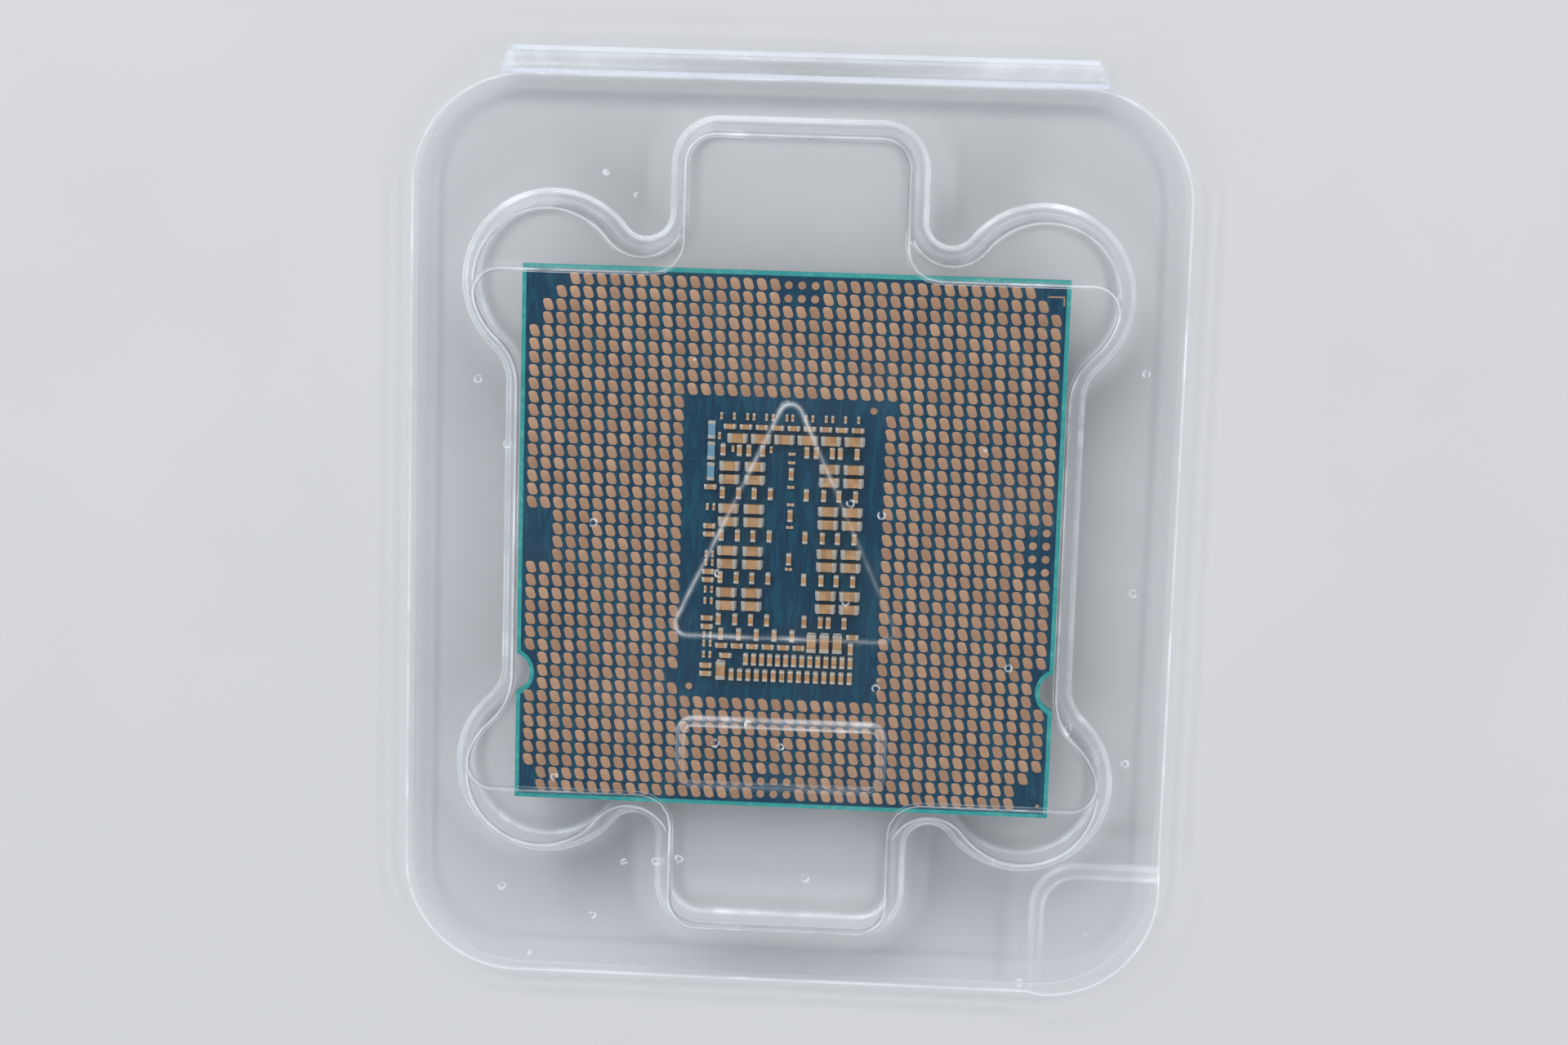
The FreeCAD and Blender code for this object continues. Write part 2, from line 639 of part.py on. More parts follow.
def make_lid():
    low = "Sizes.seam_level"
    rim_top = "Sizes.seam_level + Sizes.sheet_thick"
    inset = size("wall_inset")
    thick = sheet_thick
    ledge = "Sizes.ledge_under"
    roof = "Sizes.roof_under"
    rib = (0, -size("rib_middle"), size("rib_half_width"), size("rib_length") / 2)
    rib_corner = size("rib_corner")
    outer = [
        raise_up("lid_rim", outline("lid_rim_face", rim_wire()), low, rim_top),
        raise_up("lid_ledges", outline("lid_ledge_face", wire_through(pocket_arcs(inset, False))),
                 low, ledge + " + Sizes.sheet_thick"),
        raise_up("lid_roof", outline("lid_roof_face", wire_through(pocket_arcs(inset, True))),
                 ledge + " + Sizes.sheet_thick", roof + " + Sizes.sheet_thick"),
        raise_up("lid_rib", outline("lid_rib_face", rounded_wire(*rib, rib_corner)),
                 roof + " + Sizes.sheet_thick", roof + " + Sizes.sheet_thick + Sizes.rib_height"),
        raise_up("lid_lift", outline("lid_lift_face", lift_wire(0)),
                 low, rim_top + " + Sizes.lift_height"),
    ]
    slim_rib = (rib[0], rib[1], rib[2] - thick, rib[3] - thick)
    inner = [
        raise_up("lid_ledge_under", outline("lid_ledge_under_face",
                 wire_through(pocket_arcs(inset + thick, False))), low + " - 1", ledge),
        raise_up("lid_roof_under", outline("lid_roof_under_face",
                 wire_through(pocket_arcs(inset + thick, True))), ledge, roof),
        raise_up("lid_rib_under", outline("lid_rib_under_face", rounded_wire(*slim_rib, rib_corner - thick)),
                 roof, roof + " + Sizes.rib_height"),
        raise_up("lid_lift_under", outline("lid_lift_under_face", lift_wire(thick)),
                 low + " - 1", low + " + Sizes.lift_height"),
    ]
    frame = outline("lid_mark_face", mark_wire(size("mark_radius")))
    frame.Shape = frame.Shape.cut(Part.Face(mark_wire(size("mark_radius") - 2 * size("mark_line"))))
    raised = raise_up("lid_mark", frame, roof, roof + " + Sizes.sheet_thick + Sizes.mark_height")
    cavity = join("lid_cavity", inner)
    doc.recompute()
    shell = doc.addObject("Part::Cut", "lid_shell")
    shell.Base = join("lid_blank", outer)
    shell.Tool = cavity
    keep("clamshell_lid", join("clamshell_lid", [shell, raised]))


def make_hinge_beads():
    """Half tubes on the two rims. The sheet folds along the line where they meet."""
    radius = size("bead_radius")
    length = size("bead_length")
    centre = FreeCAD.Vector(-length / 2, size("bead_centre"), size("seam_level"))
    along = FreeCAD.Vector(1, 0, 0)
    tube = Part.makeCylinder(radius, length, centre, along)
    tube = tube.cut(Part.makeCylinder(radius - sheet_thick, length, centre, along))
    gap = size("seam_gap")
    level = size("seam_level")
    upper = block(0, centre.y, length, 4 * radius, level, level + 2 * radius)
    lower = block(0, centre.y, length, 4 * radius, level - 2 * radius, level - gap)
    for name, half in (("hinge_bead_lid", upper), ("hinge_bead_tray", lower)):
        bead = doc.addObject("Part::Feature", name)
        bead.Shape = tube.common(half)
        place(bead, SHELL_Y, "0")
        keep(name, bead)


# ------------------------------------------------------------------ build, check and write

make_laminate()
make_lands()
make_test_points()
make_passives()
make_die_stack()
make_die_side_marks()
make_heat_spreader()
make_sealant()
make_tray()
make_lid()
make_hinge_beads()
doc.recompute()

for thing in doc.Objects:
    if "Invalid" in thing.State or "Error" in thing.State:
        raise RuntimeError("%s did not recompute: %s" % (thing.Label, thing.State))

os.makedirs("parts", exist_ok=True)
for name, thing in nodes.items():
    shape = thing.Shape
    if shape.isNull() or not shape.isValid() or not shape.Solids:
        raise RuntimeError("%s has no valid solid" % name)
    shape.exportStep("parts/%s.step" % name)
    box = shape.BoundBox
    print("%-26s %4d solids  z %.3f to %.3f  volume %.3f"
          % (name, len(shape.Solids), box.ZMin, box.ZMax, shape.Volume))
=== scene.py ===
import math

import bmesh
import bpy
import numpy as np
from mathutils import Matrix, Vector, geometry


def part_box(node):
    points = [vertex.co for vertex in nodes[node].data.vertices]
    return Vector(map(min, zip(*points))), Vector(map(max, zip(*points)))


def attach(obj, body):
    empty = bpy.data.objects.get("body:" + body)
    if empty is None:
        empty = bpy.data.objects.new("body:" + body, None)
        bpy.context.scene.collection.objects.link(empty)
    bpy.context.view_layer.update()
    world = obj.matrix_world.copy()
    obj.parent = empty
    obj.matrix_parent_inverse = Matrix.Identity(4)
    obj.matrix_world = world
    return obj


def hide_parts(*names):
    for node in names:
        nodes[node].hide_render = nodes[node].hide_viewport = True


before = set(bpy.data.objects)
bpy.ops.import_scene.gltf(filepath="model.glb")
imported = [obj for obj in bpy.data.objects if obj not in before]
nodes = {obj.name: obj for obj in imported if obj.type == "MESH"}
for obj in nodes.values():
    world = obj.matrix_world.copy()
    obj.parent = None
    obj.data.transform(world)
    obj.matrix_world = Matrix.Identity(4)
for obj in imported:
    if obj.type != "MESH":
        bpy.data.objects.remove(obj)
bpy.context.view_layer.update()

mm = 0.001

# places read from the frame, in millimetres
packageBox = [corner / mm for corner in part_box("substrate_core")]
maskBox = [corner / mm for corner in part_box("solder_mask_land_side")]
lidBox = [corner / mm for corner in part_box("clamshell_lid")]
trayBox = [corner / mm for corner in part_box("clamshell_tray")]
beadBox = [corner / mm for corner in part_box("hinge_bead_lid")]
packageX = (packageBox[0].x + packageBox[1].x) / 2
packageY = (packageBox[0].y + packageBox[1].y) / 2
landLevel = maskBox[1].z
seamLevel = beadBox[0].z
print("frame loaded:", len(nodes), "nodes, land level", round(landLevel, 3))


# small helpers

def deselectAll():
    if bpy.context.mode != "OBJECT":
        bpy.ops.object.mode_set(mode="OBJECT")
    bpy.ops.object.select_all(action="DESELECT")


def makeActive(piece):
    deselectAll()
    piece.select_set(True)
    bpy.context.view_layer.objects.active = piece


def applyModifier(piece, kind, **settings):
    makeActive(piece)
    modifier = piece.modifiers.new(kind.lower(), kind)
    for key, value in settings.items():
        setattr(modifier, key, value)
    bpy.ops.object.modifier_apply(modifier=modifier.name)


def smooth(piece, angle=40):
    makeActive(piece)
    bpy.ops.object.shade_smooth_by_angle(angle=math.radians(angle))


def finishPiece(piece, name, body, slotName, finish, *replaced):
    piece.name = name
    piece.data.name = name
    if finish:
        piece.data.materials.clear()
        piece.data.materials.append(finish)
    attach(piece, body)
    if replaced:
        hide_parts(*replaced)


def pieceFromMesh(name, mesh):
    piece = bpy.data.objects.new(name, mesh)
    bpy.context.scene.collection.objects.link(piece)
    return piece


def linear(red, green, blue):
    # a colour as a paint chart gives it, 0 to 255, made linear
    values = []
    for part in (red, green, blue):
        share = part / 255
        values.append(share / 12.92 if share <= 0.04045 else ((share + 0.055) / 1.055) ** 2.4)
    return (*values, 1.0)


# materials

class Wire:
    # an output socket that takes part in sums: each operator adds a Math node

    def __init__(self, finish, socket):
        self.finish = finish
        self.socket = socket

    def maths(self, operation, other=0.0, swapped=False):
        pair = [other, self] if swapped else [self, other]
        return self.finish.add("ShaderNodeMath", {"operation": operation}, dict(enumerate(pair)))

    def __add__(self, other):
        return self.maths("ADD", other)

    def __radd__(self, other):
        return self.maths("ADD", other, True)

    def __sub__(self, other):
        return self.maths("SUBTRACT", other)

    def __rsub__(self, other):
        return self.maths("SUBTRACT", other, True)

    def __mul__(self, other):
        return self.maths("MULTIPLY", other)

    def __rmul__(self, other):
        return self.maths("MULTIPLY", other, True)

    def __gt__(self, other):
        return self.maths("GREATER_THAN", other)

    def __pow__(self, other):
        return self.maths("POWER", other)

    def between(self, low, high):
        # 0 below low, 1 above high, eased between
        settings = {"interpolation_type": "SMOOTHSTEP"}
        return self.finish.add("ShaderNodeMapRange", settings, {0: self, 1: low, 2: high})


class Finish:
    # a material under construction. Its place is the Object coordinate in millimetres

    def __init__(self, name):
        self.material = bpy.data.materials.new(name)
        self.material.use_nodes = True
        self.tree = self.material.node_tree
        self.tree.nodes.clear()
        spot = self.add("ShaderNodeTexCoord", {}, {}, "Object")
        self.place = self.add("ShaderNodeVectorMath", {"operation": "SCALE"}, {0: spot, "Scale": 1 / mm})

    def add(self, kind, settings=None, values=None, output=0):
        node = self.tree.nodes.new(kind)
        for key, value in (settings or {}).items():
            setattr(node, key, value)
        for key, value in (values or {}).items():
            if isinstance(value, Wire):
                self.tree.links.new(value.socket, node.inputs[key])
            else:
                node.inputs[key].default_value = value
        return None if output is None else Wire(self, node.outputs[output])

    def axis(self, name, place=None):
        return self.add("ShaderNodeSeparateXYZ", {}, {0: place or self.place}, name)

    def stretched(self, x=1.0, y=1.0, z=1.0, shift=(0, 0, 0)):
        return self.add("ShaderNodeMapping", {}, {0: self.place, "Location": shift, "Scale": (x, y, z)})

    def noise(self, scale, detail=2.0, rough=0.5, place=None, distortion=0.0):
        values = {"Vector": place or self.place, "Scale": scale, "Detail": detail,
                  "Roughness": rough, "Distortion": distortion}
        return self.add("ShaderNodeTexNoise", {}, values)

    def cells(self, pitch):
        # a random number for each square cell of the place, counted from the package's centre
        moved = self.add("ShaderNodeMapping", {}, {0: self.place, "Location": (-packageX, -packageY, 0)})
        scaled = self.add("ShaderNodeVectorMath", {"operation": "SCALE"}, {0: moved, "Scale": 1 / pitch})
        floor = self.add("ShaderNodeVectorMath", {"operation": "FLOOR"}, {0: scaled})
        flat = self.add("ShaderNodeVectorMath", {"operation": "MULTIPLY"}, {0: floor, 1: (1, 1, 0)})
        return self.add("ShaderNodeTexWhiteNoise", {"noise_dimensions": "3D"}, {"Vector": flat})

    def blend(self, share, first, second):
        values = {0: share, 6: first, 7: second}
        return self.add("ShaderNodeMix", {"data_type": "RGBA", "clamp_factor": True}, values, 2)

    def bump(self, height, strength, distance):
        return self.add("ShaderNodeBump", {}, {"Height": height, "Strength": strength, "Distance": distance})

    def shader(self, values):
        return self.add("ShaderNodeBsdfPrincipled", {}, values)

    def close(self, surface):
        self.add("ShaderNodeOutputMaterial", {}, {"Surface": surface}, None)
        return self.material


def makeLandGold():
    finish = Finish("landGold")
    landPitch = 0.9144
    tone = finish.cells(landPitch)
    cloud = finish.noise(0.9, 3, 0.6)
    scuff = finish.noise(6.0, 3, 0.65, finish.stretched(1.0, 4.0, 1.0))
    base = finish.blend(tone, linear(172, 136, 109), linear(194, 157, 128))
    base = finish.blend(cloud.between(0.35, 0.75) * 0.45, base, linear(160, 121, 96))
    base = finish.blend(scuff.between(0.60, 0.78) * 0.35, base, linear(230, 199, 172))
    rough = 0.34 + tone * 0.08 + scuff * 0.12
    normal = finish.bump(scuff, 0.25, 0.00002)
    return finish.close(finish.shader({"Base Color": base, "Roughness": rough, "Metallic": 0.45,
                                       "Normal": normal}))


def makeSolderMask():
    finish = Finish("solderMask")
    weaveX = finish.add("ShaderNodeTexWave", {"wave_type": "BANDS", "bands_direction": "X"},
                        {"Vector": finish.place, "Scale": 0.7, "Distortion": 0.6, "Detail": 1.0})
    weaveY = finish.add("ShaderNodeTexWave", {"wave_type": "BANDS", "bands_direction": "Y"},
                        {"Vector": finish.place, "Scale": 0.7, "Distortion": 0.6, "Detail": 1.0})
    weave = weaveX * weaveY
    cloud = finish.noise(0.35, 4, 0.6)
    traces = finish.noise(1.9, 2, 0.4, finish.stretched(1.0, 0.18, 1.0), 1.2)
    traceMask = traces.between(0.53, 0.56)
    base = finish.blend(cloud, linear(1, 46, 70), linear(3, 58, 84))
    base = finish.blend(traceMask * 0.4, base, linear(6, 84, 104))
    base = finish.blend(weave * 0.25, base, linear(4, 74, 98))
    rough = 0.30 + cloud * 0.14
    normal = finish.bump(traceMask * 0.6 + weave * 0.4, 0.35, 0.00002)
    return finish.close(finish.shader({"Base Color": base, "Roughness": rough, "Normal": normal,
                                       "Specular IOR Level": 0.28}))


def makeLaminate():
    finish = Finish("laminate")
    threads = finish.noise(7.0, 3, 0.6, finish.stretched(0.25, 0.25, 3.0))
    cloud = finish.noise(0.5, 3, 0.6)
    base = finish.blend(cloud, linear(16, 128, 130), linear(36, 158, 156))
    base = finish.blend(threads.between(0.45, 0.7) * 0.5, base, linear(86, 180, 168))
    normal = finish.bump(threads, 0.5, 0.00003)
    return finish.close(finish.shader({"Base Color": base, "Roughness": 0.42 + threads * 0.2,
                                       "Normal": normal}))


def makeCeramic():
    finish = Finish("capacitorCeramic")
    tone = finish.cells(0.55)
    grain = finish.noise(14.0, 3, 0.7)
    base = finish.blend(tone, linear(158, 121, 82), linear(184, 147, 106))
    base = finish.blend(grain.between(0.4, 0.75) * 0.4, base, linear(136, 92, 58))
    normal = finish.bump(grain, 0.4, 0.00001)
    return finish.close(finish.shader({"Base Color": base, "Roughness": 0.42 + grain * 0.2,
                                       "Normal": normal}))


def makeTinnedEnd():
    finish = Finish("tinnedEnd")
    grain = finish.noise(9.0, 3, 0.6)
    spots = finish.noise(2.2, 2, 0.5)
    base = finish.blend(grain, linear(176, 170, 160), linear(212, 208, 200))
    base = finish.blend(spots.between(0.5, 0.72) * 0.4, base, linear(164, 148, 128))
    normal = finish.bump(grain, 0.5, 0.00002)
    return finish.close(finish.shader({"Base Color": base, "Roughness": 0.26 + spots * 0.2,
                                       "Metallic": 0.55, "Normal": normal}))


def makeGlaze():
    finish = Finish("resistorGlaze")
    cloud = finish.noise(3.0, 3, 0.6)
    base = finish.blend(cloud, linear(84, 126, 154), linear(116, 156, 182))
    return finish.close(finish.shader({"Base Color": base, "Roughness": 0.22 + cloud * 0.15,
                                       "Coat Weight": 0.15, "Normal": finish.bump(cloud, 0.2, 0.00002)}))


def makeSilicon():
    finish = Finish("silicon")
    grind = finish.noise(4.0, 3, 0.6, finish.stretched(0.1, 6.0, 1.0))
    base = finish.blend(grind, linear(60, 62, 68), linear(92, 94, 100))
    return finish.close(finish.shader({"Base Color": base, "Roughness": 0.18 + grind * 0.16,
                                       "Metallic": 0.6, "Normal": finish.bump(grind, 0.2, 0.00001)}))


def makeSolder():
    finish = Finish("softSolder")
    flow = finish.noise(1.2, 4, 0.6)
    base = finish.blend(flow, linear(176, 178, 182), linear(206, 206, 208))
    return finish.close(finish.shader({"Base Color": base, "Roughness": 0.36 + flow * 0.2,
                                       "Metallic": 0.9, "Normal": finish.bump(flow, 0.4, 0.00003)}))


def makeEpoxy():
    finish = Finish("underfillEpoxy")
    flow = finish.noise(0.8, 3, 0.5)
    base = finish.blend(flow, linear(28, 30, 34), linear(48, 48, 52))
    return finish.close(finish.shader({"Base Color": base, "Roughness": 0.24 + flow * 0.2,
                                       "Normal": finish.bump(flow, 0.4, 0.00005)}))


def makeNickel():
    finish = Finish("nickelPlate")
    brush = finish.noise(5.0, 4, 0.65, finish.stretched(0.06, 5.0, 1.0))
    smudge = finish.noise(0.12, 4, 0.6)
    pits = finish.noise(11.0, 2, 0.6)
    base = finish.blend(smudge.between(0.35, 0.7), linear(196, 194, 188), linear(176, 172, 164))
    rough = 0.24 + brush * 0.16 + smudge.between(0.4, 0.75) * 0.12
    height = brush * 0.7 + pits.between(0.6, 0.75) * 0.4
    return finish.close(finish.shader({"Base Color": base, "Roughness": rough, "Metallic": 1.0,
                                       "Normal": finish.bump(height, 0.25, 0.00002)}))


def makeSealant():
    finish = Finish("sealantBead")
    lumps = finish.noise(2.0, 3, 0.6)
    base = finish.blend(lumps, linear(34, 34, 36), linear(58, 58, 60))
    return finish.close(finish.shader({"Base Color": base, "Roughness": 0.5 + lumps * 0.2,
                                       "Normal": finish.bump(lumps, 0.5, 0.00005)}))


# the highlight shares set how much white painted highlight the bends get, and the blister values lay rings of
# painted glint
clearSheet = {
    "colour": (0.93, 0.96, 1.0, 1.0), "shine": 0.09, "faceOn": 0.017, "edgeOn": 0.8, "edgePower": 4,
    "highlightLeast": 0.24, "highlightPatches": 0.40, "highlightHotSpots": 0.45, "highlightRough": 0.25, "scratches": 0.05,
    "blistersPerMm": 0.45, "blisterInner": (0.07, 0.10), "blisterOuter": (0.12, 0.15), "blisterChance": 0.87,
    "shadowPass": (0.985, 0.985, 0.985, 1.0),
}


def makeClearSheet(name, veil, blisterGlints, tint):
    # light goes straight through, a gloss rides on top by angle, and scratches are white; white painted
    # highlight is laid on the bends, and rings of painted glint on the blisters
    finish = Finish(name)
    ripple = finish.noise(0.30, 2, 0.5)
    dimples = finish.noise(1.7, 2, 0.5)
    height = ripple + dimples * 0.12
    normal = finish.bump(height, 0.5, 0.00008)
    away = finish.add("ShaderNodeLayerWeight", {}, {"Blend": 0.5}, "Facing")
    gloss = finish.shader({"Base Color": clearSheet["colour"], "Metallic": 1.0,
                           "Roughness": clearSheet["shine"], "Normal": normal})
    clear = finish.add("ShaderNodeBsdfTransparent", {}, {"Color": tint})
    glossShare = away ** clearSheet["edgePower"] * clearSheet["edgeOn"] + clearSheet["faceOn"]
    sheet = finish.add("ShaderNodeMixShader", {}, {0: glossShare, 1: clear, 2: gloss})
    # this attribute is painted highlight, laid where the bends would catch the lights
    bend = finish.add("ShaderNodeAttribute", {"attribute_name": "bend"}, {}, "Fac")
    # patches and hot spots make the painted highlight come and go along the bends
    patchy = finish.noise(0.22, 3, 0.6).between(0.30, 0.66)
    scratch = finish.noise(5.0, 3, 0.7, finish.stretched(0.15, 2.5, 1.0, (3, 7, 0)), 0.6)
    smear = finish.noise(0.14, 4, 0.62).between(0.45, 0.80)
    hot = finish.noise(0.30, 2, 0.5).between(0.56, 0.68)
    # sparse rings of painted glint round the blisters
    grid = {"Vector": finish.stretched(1, 1, 0), "Scale": clearSheet["blistersPerMm"]}
    reach = finish.add("ShaderNodeTexVoronoi", {}, grid, "Distance")
    chance = finish.axis("X", finish.add("ShaderNodeTexVoronoi", {}, grid, "Color"))
    broken = finish.noise(2.6, 1, 0.5).between(0.44, 0.54)
    ring = reach.between(*clearSheet["blisterInner"]) * (1 - reach.between(*clearSheet["blisterOuter"]))
    blisterGlint = ring * (chance > clearSheet["blisterChance"]) * broken
    bright = patchy * clearSheet["highlightPatches"] + hot * clearSheet["highlightHotSpots"] + clearSheet["highlightLeast"]
    share = bend * bright + scratch.between(0.70, 0.76) * clearSheet["scratches"] + smear * veil
    share = share + blisterGlint * blisterGlints
    white = finish.shader({"Base Color": clearSheet["colour"], "Roughness": clearSheet["highlightRough"],
                           "Normal": normal})
    seen = finish.add("ShaderNodeMixShader", {}, {0: share, 1: sheet, 2: white})
    lamp = finish.add("ShaderNodeLightPath", {}, {}, "Is Shadow Ray")
    through = finish.add("ShaderNodeBsdfTransparent", {}, {"Color": clearSheet["shadowPass"]})
    return finish.close(finish.add("ShaderNodeMixShader", {}, {0: lamp, 1: seen, 2: through}))


def makeCutEdge():
    finish = Finish("sheetCutEdge")
    nick = finish.noise(3.0, 3, 0.7)
    clear = finish.add("ShaderNodeBsdfTransparent", {}, {"Color": (0.93, 0.96, 0.99, 1.0)})
    edge = finish.shader({"Base Color": (0.86, 0.90, 0.96, 1.0), "Roughness": 0.2,
                          "Normal": finish.bump(nick, 0.3, 0.00005)})
    return finish.close(finish.add("ShaderNodeMixShader", {}, {0: 0.45 + nick * 0.3, 1: clear, 2: edge}))


finishes = {
    "gold": makeLandGold(), "mask": makeSolderMask(), "laminate": makeLaminate(),
    "ceramic": makeCeramic(), "tinned": makeTinnedEnd(), "glaze": makeGlaze(),
    "silicon": makeSilicon(), "solder": makeSolder(), "epoxy": makeEpoxy(),
    "nickel": makeNickel(), "sealant": makeSealant(),
    "lidSheet": makeClearSheet("lidSheet", 0.009, 0.42, (0.995, 0.997, 1.0, 1.0)),
    "traySheet": makeClearSheet("traySheet", 0.02, 0.0, (0.99, 0.995, 1.0, 1.0)),
    "cutEdge": makeCutEdge(),
}
print("materials made:", len(finishes))

nodeFinishes = {
    "substrate_core": "laminate", "buildup_land_side": "laminate", "buildup_die_side": "laminate",
    "solder_mask_land_side": "mask", "solder_mask_die_side": "mask", "silicon_die": "silicon",
    "solder_thermal_interface": "solder", "die_bumps": "solder", "die_underfill": "epoxy",
    "heat_spreader": "nickel", "spreader_sealant": "sealant", "pin_one_mark": "gold",
    "top_test_pads": "gold",
}
for nodeName, finishName in nodeFinishes.items():
    nodes[nodeName].data.materials.clear()
    nodes[nodeName].data.materials.append(finishes[finishName])


# small repeated pieces: modelled once, copied to where each solid of the node is

weldGap = 0.002        # corners of loose triangles closer than this are one


def solidBoxes(nodeName):
    # lowest and highest corner of each separate solid of a node, in millimetres
    bm = bmesh.new()
    bm.from_mesh(nodes[nodeName].data)
    bmesh.ops.remove_doubles(bm, verts=bm.verts, dist=weldGap * mm)
    seen = set()
    boxes = []
    for start in bm.verts:
        if start in seen:
            continue
        seen.add(start)
        queue = [start]
        island = []
        while queue:
            vertex = queue.pop()
            island.append(vertex.co / mm)
            for edge in vertex.link_edges:
                other = edge.other_vert(vertex)
                if other not in seen:
                    seen.add(other)
                    queue.append(other)
        low = Vector(min(spot[axis] for spot in island) for axis in range(3))
        high = Vector(max(spot[axis] for spot in island) for axis in range(3))
        boxes.append((low, high))
    bm.free()
    return boxes


def copyToPlaces(name, template, places):
    # one mesh with a copy of the template at each place: x, y, z in millimetres and a turn
    bm = bmesh.new()
    for x, y, z, turn in places:
        before = len(bm.verts)
        bm.from_mesh(template.data)
        bm.verts.ensure_lookup_table()
        move = Matrix.Translation(Vector((x, y, z)) * mm) @ Matrix.Rotation(turn, 4, "Z")
        bmesh.ops.transform(bm, matrix=move, verts=bm.verts[before:])
    mesh = bpy.data.meshes.new(name)
    bm.to_mesh(mesh)
    bm.free()
    bpy.data.objects.remove(template)
    return pieceFromMesh(name, mesh)


def addBlock(low, high, rounding, segments):
    # a block between two corners in millimetres, with its edges bevelled
    deselectAll()
    middle = [(a + b) / 2 * mm for a, b in zip(low, high)]
    size = [(b - a) * mm for a, b in zip(low, high)]
    bpy.ops.mesh.primitive_cube_add(size=1, location=middle)
    bpy.ops.transform.resize(value=size)
    bpy.ops.object.transform_apply(location=True, rotation=False, scale=True)
    bpy.ops.object.mode_set(mode="EDIT")
    bpy.ops.mesh.select_all(action="SELECT")
    bpy.ops.mesh.bevel(offset=rounding * mm, segments=segments, profile=0.6)
    bpy.ops.object.mode_set(mode="OBJECT")
    return bpy.context.object


def joinPieces(pieces):
    deselectAll()
    for piece in pieces:
        piece.select_set(True)
    bpy.context.view_layer.objects.active = pieces[0]
    bpy.ops.object.join()
    return pieces[0]


land = {"chord": 0.63, "height": 0.81, "lean": 0.25, "thick": 0.032, "rim": 0.035,
        "wideCorner": 0.19, "sharpCorner": 0.27, "cornerSegments": 3, "wallShare": 0.6, "domeShare": 0.4}


def landTemplate():
    # a leaning land with its corners rounded and its upper edge softened
    deselectAll()
    bpy.ops.mesh.primitive_plane_add(size=1)
    bpy.ops.transform.resize(value=(land["chord"] * mm, land["height"] * mm, 1))
    bpy.ops.object.transform_apply(location=False, rotation=False, scale=True)
    piece = bpy.context.object
    shift = land["lean"] / 2 * mm
    for vertex in piece.data.vertices:
        vertex.co.x += -shift if vertex.co.y > 0 else shift
    bpy.ops.object.mode_set(mode="EDIT")
    bm = bmesh.from_edit_mesh(piece.data)
    nearEnd = 1e-7
    middleStrip = 0.15 * mm
    for kind in ("sharpCorner", "wideCorner"):
        bpy.ops.mesh.select_all(action="DESELECT")
        for vertex in bm.verts:
            sharp = vertex.co.x * vertex.co.y < 0
            atEnd = abs(abs(vertex.co.y) - land["height"] / 2 * mm) < nearEnd
            outer = atEnd and len(vertex.link_edges) == 2 and abs(vertex.co.x) > middleStrip
            vertex.select = outer and sharp == (kind == "sharpCorner")
        bm.select_flush_mode()
        bmesh.update_edit_mesh(piece.data)
        bpy.ops.mesh.bevel(offset=land[kind] * mm, segments=land["cornerSegments"], affect="VERTICES")
        bm = bmesh.from_edit_mesh(piece.data)
    bpy.ops.mesh.select_all(action="SELECT")
    rise = (0, 0, land["thick"] * land["wallShare"] * mm)
    bpy.ops.mesh.extrude_region_move(TRANSFORM_OT_translate={"value": rise})
    bpy.ops.mesh.inset(thickness=land["rim"] * mm, depth=land["thick"] * land["domeShare"] * mm)
    bpy.ops.mesh.select_all(action="SELECT")
    bpy.ops.mesh.normals_make_consistent(inside=False)
    bpy.ops.object.mode_set(mode="OBJECT")
    return piece


def makeLands():
    for side in ("north", "south", "west", "east"):
        nodeName = "lands_" + side
        places = []
        for low, high in solidBoxes(nodeName):
            places.append(((low.x + high.x) / 2, (low.y + high.y) / 2, low.z, 0))
        piece = copyToPlaces("landField_" + side, landTemplate(), places)
        smooth(piece, 35)
        finishPiece(piece, "landField_" + side, "tray", "land_gold", finishes["gold"], nodeName)
    print("lands copied")


roundPad = {"sides": 20, "thick": 0.02, "rim": 0.03, "dome": 0.006}


def makeRoundPads():
    # a short disc with a slightly raised top for each test point and fiducial
    for nodeName, pieceName in (("test_points", "testPoints"), ("fiducials", "fiducialDots")):
        boxes = solidBoxes(nodeName)
        radius = (boxes[0][1].x - boxes[0][0].x) / 2
        deselectAll()
        bpy.ops.mesh.primitive_cylinder_add(vertices=roundPad["sides"], radius=radius * mm,
                                            depth=roundPad["thick"] * mm,
                                            location=(0, 0, roundPad["thick"] / 2 * mm))
        bpy.ops.object.transform_apply(location=True)
        template = bpy.context.object
        bpy.ops.object.mode_set(mode="EDIT")
        bpy.ops.mesh.select_all(action="DESELECT")
        bm = bmesh.from_edit_mesh(template.data)
        for face in bm.faces:
            face.select = face.normal.z > 0.9
        bm.select_flush_mode()
        bpy.ops.mesh.inset(thickness=roundPad["rim"] * mm, depth=roundPad["dome"] * mm)
        bpy.ops.object.mode_set(mode="OBJECT")
        places = [((low.x + high.x) / 2, (low.y + high.y) / 2, low.z, 0) for low, high in boxes]
        piece = copyToPlaces(pieceName, template, places)
        smooth(piece, 35)
        finishPiece(piece, pieceName, "tray", "land_gold", finishes["gold"], nodeName)
    print("round pads copied")


passives = {
    "large_capacitor": {"rounding": 0.045, "segments": 2, "bodyFinish": "ceramic",
                        "slot": "capacitor_ceramic"},
    "small_capacitor": {"rounding": 0.032, "segments": 1, "bodyFinish": "ceramic",
                        "slot": "capacitor_ceramic"},
    "tiny_capacitor": {"rounding": 0.020, "segments": 1, "bodyFinish": "ceramic",
                       "slot": "capacitor_ceramic"},
    "resistor": {"rounding": 0.030, "segments": 2, "bodyFinish": "glaze",
                 "slot": "resistor_body"},
}


tinFoot = {"tuck": 0.02, "reach": 0.16, "halfWidth": 0.46, "height": 0.3, "rounding": 0.8}
bodyRounding = 0.5        # the body's edges, as a share of the ends' rounding


